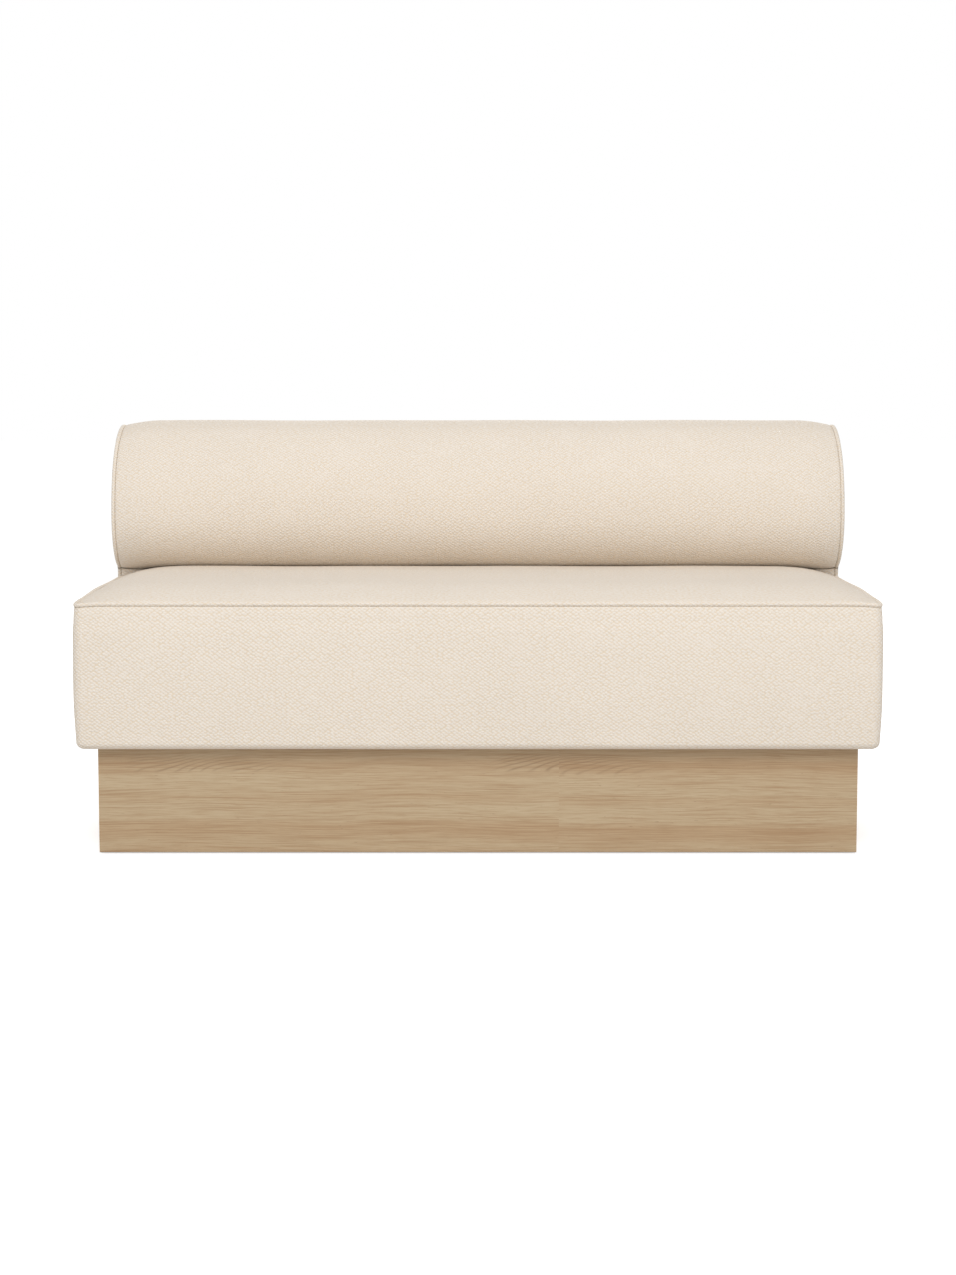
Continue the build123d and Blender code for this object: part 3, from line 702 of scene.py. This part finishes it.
# Places at an even pitch round the seat, half a pitch from the middle of its rear, and the ways out there
def roundSeat(s, pitch):
    points, normals, along = seatPath(s, s["knotPitch"])
    places = (np.arange(round(along[-1] / pitch)) + 0.5) * evenPitch(along, pitch)
    points = np.column_stack([np.interp(places, along, points[:, i]) for i in (0, 1)])
    normals = np.column_stack([np.interp(places, along, normals[:, i]) for i in (0, 1)])
    normals /= np.linalg.norm(normals, axis=1, keepdims=True)
    return points, normals


def makeTopStitching(s, t):
    points, normals = roundSeat(s, s["stitchPitch"])
    points = points - normals * s["stitchInset"]
    height = seamHeight(s, points[:, 0], points[:, 1]) + s["stitchUp"]
    flat = np.zeros(len(points))
    runs = np.column_stack([-normals[:, 1], normals[:, 0], flat])
    ups = np.column_stack([flat, flat, flat + 1])
    return makeThreads("seatTopStitching", t, np.column_stack([points, height]), runs, ups)


def makeSeamThread(s, t):
    points, normals = roundSeat(s, s["knotPitch"])
    height = seamHeight(s, points[:, 0], points[:, 1]) + t["up"]
    flat = np.zeros(len(points))
    centres = np.column_stack([points - normals * t["deep"], height])
    runs = np.column_stack([-normals[:, 1], normals[:, 0], flat + t["lean"]])
    runs /= np.linalg.norm(runs, axis=1, keepdims=True)
    return makeThreads("seatSeamThread", t, centres, runs, np.column_stack([normals, flat]))


def makeEndThread(b, t, side):
    path = backOutline(dict(b, creaseDepth=0), 0, -t["deep"], t["pathStep"])
    along = pathLength(path)

    def onPath(places):
        return np.column_stack([np.interp(places, along, path[:, i]) for i in (0, 1)])

    places = np.arange(b["hemWidth"], along[-1] - b["hemWidth"], b["knotPitch"])
    middle = onPath(places)
    ahead = onPath(places + t["lookAhead"]) - middle
    ahead /= np.linalg.norm(ahead, axis=1, keepdims=True)
    count = len(places)
    centres = np.column_stack([side * (b["seamX"] - endDraw(b, middle[:, 1], b["seamDraw"])), middle])
    runs = np.column_stack([np.full(count, 1.0), ahead * t["lean"]]) / sqrt(1 + t["lean"] ** 2)
    outs = np.column_stack([np.zeros(count), -ahead[:, 1], ahead[:, 0]])
    return makeThreads(endName(side, "SeamThread"), t, centres, runs, outs)


threads = [makeTopStitching(seat, topStitch), makeSeamThread(seat, seamKnot),
           makeEndThread(back, endKnot, -1), makeEndThread(back, endKnot, 1)]
print("seams sewn")


# What stands for what, and what it moves with

covers = [
    (seatBand, "cream_weave", ("seat_cover_band", "seat_edge_foam", "seat_core_foam")),
    (seatLip, "cream_weave", ("seat_seam_lip",)),
    (seatTop, "cream_weave", ("seat_cover_top", "seat_topper_foam")),
    (backCover, "cream_weave",
     ("back_cover_main", "back_roll_foam", "back_front_foam", "back_rear_foam")),
    (backLips[0], "cream_weave", ("back_left_seam_lip",)),
    (backLips[1], "cream_weave", ("back_right_seam_lip",)),
    (backEnds[0], "cream_weave", ("back_cover_left_end", "back_left_end_foam")),
    (backEnds[1], "cream_weave", ("back_cover_right_end", "back_right_end_foam")),
]
for piece, slotName, nodes in covers:
    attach(piece, "sofa")
    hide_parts(*nodes)
for piece in threads:
    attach(piece, "sofa")


# Materials

noiseRange = (0.3, 0.7)  # where most of a noise's values lie


# A colour as picked on screen, from 0 to 255, as the shader wants it
def linear(*color):
    return tuple(((c / 255 + 0.055) / 1.055) ** 2.4 for c in color) + (1.0,)


# Adds nodes to one material or to the world, a line for each
class Wiring:
    def __init__(self, tree):
        self.tree = tree

    def node(self, kind, **settings):
        made = self.tree.nodes.new(kind)
        for key, value in settings.items():
            setattr(made, key, value)
        return made

    def plug(self, source, socket):
        if isinstance(source, bpy.types.NodeSocket):
            self.tree.links.new(source, socket)
        else:
            socket.default_value = source

    def math(self, operation, *inputs):
        made = self.node("ShaderNodeMath", operation=operation)
        for value, socket in zip(inputs, made.inputs):
            self.plug(value, socket)
        return made.outputs[0]

    def noise(self, vector, scale, detail=2.0, rough=0.5):
        made = self.node("ShaderNodeTexNoise")
        self.plug(vector, made.inputs["Vector"])
        made.inputs["Scale"].default_value = scale
        made.inputs["Detail"].default_value = detail
        made.inputs["Roughness"].default_value = rough
        return made.outputs["Fac"]

    # noise that is finer one way than another
    def grain(self, vector, scales, detail=2.0, rough=0.5):
        return self.noise(self.stretch(vector, scales), 1.0, detail, rough)

    # noise as a shift to either side
    def sway(self, noise, reach):
        return self.math("MULTIPLY", self.math("SUBTRACT", noise, 0.5), reach)

    # from 1 to 0 and back in each pitch
    def wave(self, value, pitch=1.0):
        return self.span(self.math("COSINE", self.math("MULTIPLY", value, 2 * pi / pitch)), -1, 1)

    def split(self, vector):
        made = self.node("ShaderNodeSeparateXYZ")
        self.plug(vector, made.inputs[0])
        return made.outputs

    def join(self, *parts):
        made = self.node("ShaderNodeCombineXYZ")
        for part, socket in zip(parts, made.inputs):
            self.plug(part, socket)
        return made.outputs[0]

    def stretch(self, vector, scale):
        made = self.node("ShaderNodeMapping")
        self.plug(vector, made.inputs["Vector"])
        made.inputs["Scale"].default_value = scale
        return made.outputs["Vector"]

    # inputs 6 and 7 and output 2 are the node's colour sockets
    def blend(self, share, first, second):
        made = self.node("ShaderNodeMix", data_type="RGBA")
        self.plug(share, made.inputs[0])
        self.plug(first, made.inputs[6])
        self.plug(second, made.inputs[7])
        return made.outputs[2]

    def span(self, value, low, high, toLow=0.0, toHigh=1.0):
        made = self.node("ShaderNodeMapRange")
        for socket, v in zip(made.inputs, (value, low, high, toLow, toHigh)):
            self.plug(v, socket)
        return made.outputs[0]

    def bump(self, height, strength, distance):
        made = self.node("ShaderNodeBump")
        self.plug(height, made.inputs["Height"])
        made.inputs["Strength"].default_value = strength
        made.inputs["Distance"].default_value = distance
        return made.outputs["Normal"]


# surface is what is the same all over it, by the names of the shader's sockets
def newMaterial(name, surface):
    material = bpy.data.materials.new(name)
    material.use_nodes = True
    shader = material.node_tree.nodes["Principled BSDF"]
    for socket, value in surface.items():
        shader.inputs[socket].default_value = value
    return material, Wiring(material.node_tree), shader


weave = {
    "pitchAlong": 10.5 * mm,
    "pitchUp": 7.4 * mm,
    "wobbleAlong": 5 * mm,  # how far the rows of pearls stray, and how fine that is
    "wobbleAlongGrain": 45,
    "wobbleUp": 4 * mm,
    "wobbleUpGrain": 55,
    "wobbleUpStretch": (1.3, 0.7, 1),
    "scatter": 0.32,  # how far a pearl may lie from its place, 1 for anywhere
    "pearlEdge": 0.56,  # how far a pearl's edge and its round top lie from its middle
    "pearlTop": 0.12,
    "lightAndHighlightFrom": 0.5,  # the height above which the pearls turn lighter, partly lighter yarn and partly painted highlight
    "dullShare": 0.1,  # how light the dullest pearl is
    "patchGrain": 12,  # where slanting lines take the pearls' place, and how far
    "patchStretch": (1, 1.6, 1),
    "patchFrom": 0.55,
    "patchTo": 0.72,
    "patchShare": 0.35,
    "groundAndShadeTo": 0.4,  # the height up to which the darker ground shows, partly its own yarn and partly painted shade in the hollows
    # lighter pearls, the cloth between and the darker ground; on the pearls' tops and in the hollows these
    # are partly painted highlight and painted shade
    "pearl": (236, 229, 219),
    "cloth": (232, 222, 210),
    "groundAndShade": (225, 209, 187),
    "fibreGrain": 900,
    "fibreRelief": 0.35,
    "fibreTone": 0.015,  # how much lighter and darker its fibres and wide clouds make it
    "cloudGrain": 3.2,
    "cloudTone": 0.012,
    "bump": 0.8,
    "depth": 0.95 * mm,
    "surface": {"Roughness": 0.92, "Specular IOR Level": 0.2, "Sheen Weight": 0.1, "Sheen Roughness": 0.5},
}


# Cream cloth with rows of small pearls, some lighter than others, which here and there run into
# slanting lines. The pearls' tops are lighter and the hollows darker, partly the yarn's own tones and
# partly painted highlight and painted shade
def weaveMaterial(w):
    material, m, shader = newMaterial("creamWeave", w["surface"])
    place = m.node("ShaderNodeAttribute", attribute_name="weave").outputs["Vector"]
    parts = m.split(place)
    wobbleAlong = m.sway(m.noise(place, w["wobbleAlongGrain"]), w["wobbleAlong"])
    wobbleUp = m.sway(m.noise(m.stretch(place, w["wobbleUpStretch"]), w["wobbleUpGrain"]), w["wobbleUp"])
    along = m.math("DIVIDE", m.math("ADD", parts[0], wobbleAlong), w["pitchAlong"])
    up = m.math("DIVIDE", m.math("ADD", parts[1], wobbleUp), w["pitchUp"])
    rising = m.math("SUBTRACT", along, up)
    falling = m.math("ADD", along, up)
    pearls = m.node("ShaderNodeTexVoronoi", voronoi_dimensions="2D")
    m.plug(m.join(rising, falling), pearls.inputs["Vector"])
    pearls.inputs["Scale"].default_value = 1.0
    pearls.inputs["Randomness"].default_value = w["scatter"]
    chance = m.split(pearls.outputs["Color"])[0]
    dome = m.span(pearls.outputs["Distance"], w["pearlEdge"], w["pearlTop"])

    patches = m.noise(m.stretch(place, w["patchStretch"]), w["patchGrain"])
    patch = m.span(patches, w["patchFrom"], w["patchTo"], 0.0, w["patchShare"])
    lines = m.math("MULTIPLY", m.wave(falling), patch)
    height = m.math("ADD", lines, m.math("MULTIPLY", dome, m.math("SUBTRACT", 1.0, patch)))
    fibre = m.noise(place, w["fibreGrain"], 3, 0.65)

    # lighter towards each pearl's top and darker down in the hollows: partly the yarn's own tones, partly
    # painted highlight and painted shade
    light = m.span(chance, 0.1, 0.9, w["dullShare"], 1.0)
    light = m.math("MULTIPLY", m.span(height, w["lightAndHighlightFrom"], 1.0), light)
    color = m.blend(m.span(height, 0.0, w["groundAndShadeTo"]), linear(*w["groundAndShade"]), linear(*w["cloth"]))
    color = m.blend(light, color, linear(*w["pearl"]))
    clouds = m.noise(place, w["cloudGrain"], 3)
    tones = [m.span(source, *noiseRange, 1 - tone, 1 + tone)
             for source, tone in ((clouds, w["cloudTone"]), (fibre, w["fibreTone"]))]
    toned = m.node("ShaderNodeHueSaturation")
    m.plug(color, toned.inputs["Color"])
    m.plug(m.math("MULTIPLY", *tones), toned.inputs["Value"])
    m.plug(toned.outputs[0], shader.inputs["Base Color"])
    relief = m.math("ADD", height, m.math("MULTIPLY", fibre, w["fibreRelief"]))
    m.plug(m.bump(relief, w["bump"], w["depth"]), shader.inputs["Normal"])
    return material


# Thread, tan and darker between its twists. Both are partly the thread's own colour and partly painted
# shade: of the seam's groove, where most of it sits, and between the twists
thread = {
    "light": (226, 213, 193),
    "dark": (201, 183, 158),
    "twist": 0.6 * mm,
    "bump": 0.3,
    "depth": 0.2 * mm,
    "surface": {"Roughness": 0.8, "Specular IOR Level": 0.3},
}


# Thread colour with darker twists, partly its own tone and partly painted shade of the seam's groove and the
# twists
def threadMaterial(t):
    material, m, shader = newMaterial("threadWithSeamShade", t["surface"])
    parts = m.split(m.node("ShaderNodeTexCoord").outputs["Object"])
    run = m.math("ADD", m.math("ADD", parts[0], parts[1]), parts[2])
    twist = m.wave(run, t["twist"])
    m.plug(m.blend(twist, linear(*t["dark"]), linear(*t["light"])), shader.inputs["Base Color"])
    m.plug(m.bump(twist, t["bump"], t["depth"]), shader.inputs["Normal"])
    return material


creamWeave = weaveMaterial(weave)
for cover in covers:
    cover[0].data.materials.append(creamWeave)
threadWithSeamShade = threadMaterial(thread)
for piece in threads:
    piece.data.materials.append(threadWithSeamShade)
print("cloth dressed")


oak = {
    "pale": (191, 171, 140),
    "tone": (182, 155, 122),
    "warm": (161, 129, 95),
    "pore": (121, 93, 65),
    "boardHeight": 220 * mm,
    # heights on the board as shares, and how warm the wood is there, from 0 to 1
    "bands": [(0.0, 0.55), (0.1, 0.35), (0.19, 0.85), (0.28, 0.8), (0.34, 0.1), (0.46, 0.05),
              (0.53, 0.5), (0.6, 0.1), (0.72, 0.05), (0.8, 0.5), (0.86, 0.9), (0.93, 0.5), (1.0, 0.6)],
    "drift": 30 * mm,  # how far the level grain strays up and down, and how fine that is
    "driftGrain": (2.2, 2.2, 9),
    "joint": 167 * mm,  # where two leaves of veneer meet
    "jointShift": 6 * mm,
    "leafApart": 3.0,  # the next leaf's grain is taken from so much further along
    # each grain: how fine, the span of shades in which it comes up, and how strong it gets
    "streaks": {"grain": (5, 1, 430), "shades": (0.48, 0.72), "strength": 0.8},
    "fibres": {"grain": (22, 1, 800), "shades": (0.46, 0.7), "strength": 0.55},
    "flecks": {"grain": (60, 1, 420), "shades": (0.66, 0.76), "strength": 0.5},
    "grainRough": 0.6,
    "clouds": (1.4, 1, 14),
    "cloudWarmth": 0.35,  # how much warmer or paler they are
    "warmStreaks": 0.08,  # how much more the streaks show in warm wood
    "lowEdgeShadeStrength": 0.55,  # of the painted shade along the board's lower edge, where it stands just off the floor
    "lowEdgeShadeHeight": 2.5 * mm,
    "lowEdge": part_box("plinth_front_panel")[0].z,
    "bump": 0.12,
    "depth": 0.3 * mm,
    "roughness": (0.5, 0.62),
    "surface": {"Specular IOR Level": 0.35},
}

# The arched figure near the top of each leaf. Heights are shares of the board
arched = {
    "low": 0.765,
    "top": 1.06,  # where the arches would close
    "lowFade": (-0.005, 0.03),  # from low
    "topFade": (0.97, 0.88),
    "topShare": 0.2,  # what is left of it at the top edge
    "every": 750 * mm,  # where the same figure comes again in the next leaf of veneer
    "start": -730 * mm,
    "startFade": 40 * mm,
    "long": 380 * mm,
    "fullShare": 0.6,  # of its length, after which it fades
    "pitch": 35 * mm,
    "lean": 360 * mm,
    "leanPower": 1.6,
    "thinPower": 4.5,  # the higher, the thinner the lines
    "wander": 100 * mm,
    "wanderGrain": (6, 6, 10),
    "breakGrain": (16, 16, 50),  # where the lines thin out
    "breakShades": (0.35, 0.6),
    "breakShare": 0.5,
    "strength": 0.5,
}


# How dark the arches make the wood at a place across the front and a share of the board's height
def archLines(m, f, place, across, share):
    inFigure = m.math("WRAP", m.math("SUBTRACT", across, f["start"]), f["every"], 0.0)
    rise = m.math("POWER", m.span(share, f["low"], f["top"]), f["leanPower"])
    lean = m.math("MULTIPLY", rise, f["lean"])
    wander = m.math("MULTIPLY", m.grain(place, f["wanderGrain"], 1), f["wander"])
    arch = m.math("DIVIDE", m.math("ADD", m.math("SUBTRACT", inFigure, lean), wander), f["pitch"])
    lines = m.math("POWER", m.wave(arch), f["thinPower"])
    fades = [
        m.span(inFigure, f["long"], f["long"] * f["fullShare"]),
        m.span(share, *(f["low"] + d for d in f["lowFade"])),
        m.span(share, *f["topFade"], f["topShare"], 1.0),
        m.span(m.grain(place, f["breakGrain"]), *f["breakShades"], f["breakShare"], 1.0),
    ]
    fade = m.span(inFigure, 0.0, f["startFade"])
    for other in fades:
        fade = m.math("MULTIPLY", fade, other)
    return m.math("MULTIPLY", m.math("MULTIPLY", lines, fade), f["strength"])


# How warm the wood is at a share of the board's height
def boardWarmth(m, bands, share):
    ramp = m.node("ShaderNodeValToRGB")
    m.plug(share, ramp.inputs[0])
    stops = ramp.color_ramp.elements
    while len(stops) < len(bands):
        stops.new(0.5)
    for stop, (at, warmth) in zip(stops, bands):
        stop.position = at
        stop.color = (warmth, warmth, warmth, 1)
    return ramp.outputs[0]


# Pale oak with level grain, a row of arches near the top of each leaf, warmer bands and painted shade along
# its lower edge
def oakMaterial(w, f):
    material, m, shader = newMaterial("lightOak", w["surface"])
    place = m.node("ShaderNodeTexCoord").outputs["Object"]
    x, y, z = m.split(place)
    afterJoint = m.math("GREATER_THAN", x, w["joint"])
    drift = m.sway(m.grain(place, w["driftGrain"]), w["drift"])
    height = m.math("ADD", m.math("ADD", z, drift), m.math("MULTIPLY", afterJoint, w["jointShift"]))
    along = m.math("ADD", x, m.math("ADD", y, m.math("MULTIPLY", afterJoint, w["leafApart"])))
    share = m.math("DIVIDE", height, w["boardHeight"])
    flow = m.join(along, 0.0, height)
    streaks, fibres, flecks = (m.grain(flow, w[kind]["grain"], 2, w["grainRough"])
                               for kind in ("streaks", "fibres", "flecks"))
    clouds = m.span(m.grain(flow, w["clouds"], 3), *noiseRange, -w["cloudWarmth"], w["cloudWarmth"])
    warmth = m.math("ADD", boardWarmth(m, w["bands"], share), clouds)
    streaked = m.math("ADD", streaks, m.math("MULTIPLY", warmth, w["warmStreaks"]))

    def comesUp(grain, kind):
        return m.span(grain, *w[kind]["shades"], 0, w[kind]["strength"])

    # painted shade along the lower edge of the board, in the pore colour
    edge = m.span(z, w["lowEdge"], w["lowEdge"] + w["lowEdgeShadeHeight"], w["lowEdgeShadeStrength"], 0.0)
    layers = [(comesUp(streaked, "streaks"), "warm"), (archLines(m, f, place, x, share), "pore"),
              (comesUp(fibres, "fibres"), "warm"), (comesUp(flecks, "flecks"), "pore"), (edge, "pore")]
    color = m.blend(m.span(warmth, 0.0, 1.0), linear(*w["pale"]), linear(*w["tone"]))
    for strength, stain in layers:
        color = m.blend(strength, color, linear(*w[stain]))
    m.plug(color, shader.inputs["Base Color"])
    m.plug(m.bump(fibres, w["bump"], w["depth"]), shader.inputs["Normal"])
    m.plug(m.span(streaks, *noiseRange, *w["roughness"]), shader.inputs["Roughness"])
    return material


# Inside and underneath: two tones of each stuff, how fine its grain is and how dull it looks
hidden = {
    "birch_ply": {"name": "birchPly", "light": (222, 196, 152), "dark": (188, 156, 110),
                  "scale": (3, 3, 420), "rough": 0.6},
    "hardboard": {"name": "hardboard", "light": (140, 104, 74), "dark": (110, 80, 56),
                  "scale": (120, 120, 120), "rough": 0.7},
    "foam": {"name": "foam", "light": (236, 230, 200), "dark": (212, 204, 170),
             "scale": (600, 600, 600), "rough": 0.95},
    "felt": {"name": "felt", "light": (112, 108, 104), "dark": (70, 68, 66),
             "scale": (300, 300, 300), "rough": 0.95},
    "webbing": {"name": "webbing", "light": (60, 60, 64), "dark": (28, 28, 30),
                "scale": (500, 500, 500), "rough": 0.8},
    "dust_cloth": {"name": "dustCloth", "light": (44, 43, 43), "dark": (22, 22, 22),
                   "scale": (900, 900, 900), "rough": 0.9},
    "pad_plastic": {"name": "padPlastic", "light": (38, 38, 40), "dark": (24, 24, 26),
                    "scale": (260, 260, 260), "rough": 0.5},
    "steel": {"name": "zincSteel", "light": (196, 197, 200), "dark": (160, 162, 166),
              "scale": (240, 240, 240), "rough": 0.35, "metal": 1.0},
}

# What those stuffs share
plain = {
    "patchGrain": 9,
    "patchShare": 0.2,
    "shades": (0.35, 0.65),
    "smoother": 0.06,  # where the grain is low, and rougher where it is high
    "rougher": 0.05,
    "bump": 0.2,
    "depth": 0.3 * mm,
}


def plainMaterial(p, c):
    material, m, shader = newMaterial(p["name"], {"Metallic": p.get("metal", 0.0)})
    place = m.node("ShaderNodeTexCoord").outputs["Object"]
    grain = m.grain(place, p["scale"], 3, 0.6)
    patches = m.math("MULTIPLY", m.noise(place, c["patchGrain"]), c["patchShare"])
    mixed = m.math("ADD", m.math("MULTIPLY", grain, 1 - c["patchShare"]), patches)
    color = m.blend(m.span(mixed, *c["shades"]), linear(*p["dark"]), linear(*p["light"]))
    rough = m.span(grain, *noiseRange, p["rough"] - c["smoother"], p["rough"] + c["rougher"])
    m.plug(color, shader.inputs["Base Color"])
    m.plug(m.bump(grain, c["bump"], c["depth"]), shader.inputs["Normal"])
    m.plug(rough, shader.inputs["Roughness"])
    return material


finishes = {slotName: plainMaterial(p, plain) for slotName, p in hidden.items()}
finishes["light_oak"] = oakMaterial(oak, arched)
for part in frame["record"]["subparts"]:
    finish = finishes.get(part["material_slot"])
    if finish:
        node = frame["nodes"][part["node"]]
        node.data.materials.clear()
        node.data.materials.append(finish)
print("frame dressed")


# Plain studio: a white floor that keeps a soft shadow, even light from all round and two soft lamps

studio = {
    "floorSize": 30.0,
    "floorShade": 0.8,
    "floorGlow": 0.55,
    "sky": 0.585,
    # soft square lamps turned to the sofa: degrees round from its front and above level, metres, watts
    "lamps": [{"name": "frontLamp", "round": 0, "rise": 42, "size": 3.0, "power": 188.0},
              {"name": "rearLamp", "round": 180, "rise": 20, "size": 1.6, "power": 110.0}],
    "lampAim": (0.0, 0.0, 0.5),
    "lampAway": 6.0,
}


# 1 for what the camera sees, also in gloss and through glass, and 0 for what lights the sofa
def seenRays(m):
    path = m.node("ShaderNodeLightPath")
    seen = m.math("MAXIMUM", path.outputs["Is Camera Ray"], path.outputs["Is Glossy Ray"])
    return m.math("MAXIMUM", seen, path.outputs["Is Transmission Ray"])


def makeFloor(s):
    mesh = bpy.data.meshes.new("floor")
    r = s["floorSize"]
    mesh.from_pydata([(-r, -r, 0), (r, -r, 0), (r, r, 0), (-r, r, 0)], [], [(0, 1, 2, 3)])
    floor = bpy.data.objects.new("floor", mesh)
    bpy.context.scene.collection.objects.link(floor)
    shade = (s["floorShade"], s["floorShade"], s["floorShade"], 1)
    surface = {"Base Color": shade, "Roughness": 1.0, "Specular IOR Level": 0.0}
    material, m, shader = newMaterial("floor", surface)
    glow = m.node("ShaderNodeEmission")
    m.plug(m.math("MULTIPLY", seenRays(m), s["floorGlow"]), glow.inputs["Strength"])
    both = m.node("ShaderNodeAddShader")
    m.plug(shader.outputs[0], both.inputs[0])
    m.plug(glow.outputs[0], both.inputs[1])
    m.plug(both.outputs[0], m.tree.nodes["Material Output"].inputs["Surface"])
    mesh.materials.append(material)


def makeLight(s):
    world = bpy.data.worlds.new("studio")
    bpy.context.scene.world = world
    world.use_nodes = True
    m = Wiring(world.node_tree)
    sky = world.node_tree.nodes["Background"]
    m.plug(m.span(seenRays(m), 0, 1, s["sky"], 1.0), sky.inputs["Strength"])
    sky.inputs["Color"].default_value = (1, 1, 1, 1)
    x, y, z = s["lampAim"]
    for each in s["lamps"]:
        light = bpy.data.lights.new(each["name"], "AREA")
        light.energy = each["power"]
        light.size = each["size"]
        lamp = bpy.data.objects.new(each["name"], light)
        turn, rise = radians(each["round"]), radians(each["rise"])
        level, up = s["lampAway"] * cos(rise), s["lampAway"] * sin(rise)
        lamp.location = (x + level * sin(turn), y - level * cos(turn), z + up)
        lamp.rotation_euler = (pi / 2 - rise, 0, turn)
        lamp.visible_camera = False
        bpy.context.scene.collection.objects.link(lamp)


makeFloor(studio)
makeLight(studio)
bpy.context.scene.view_settings.view_transform = "Standard"
print("studio lit")
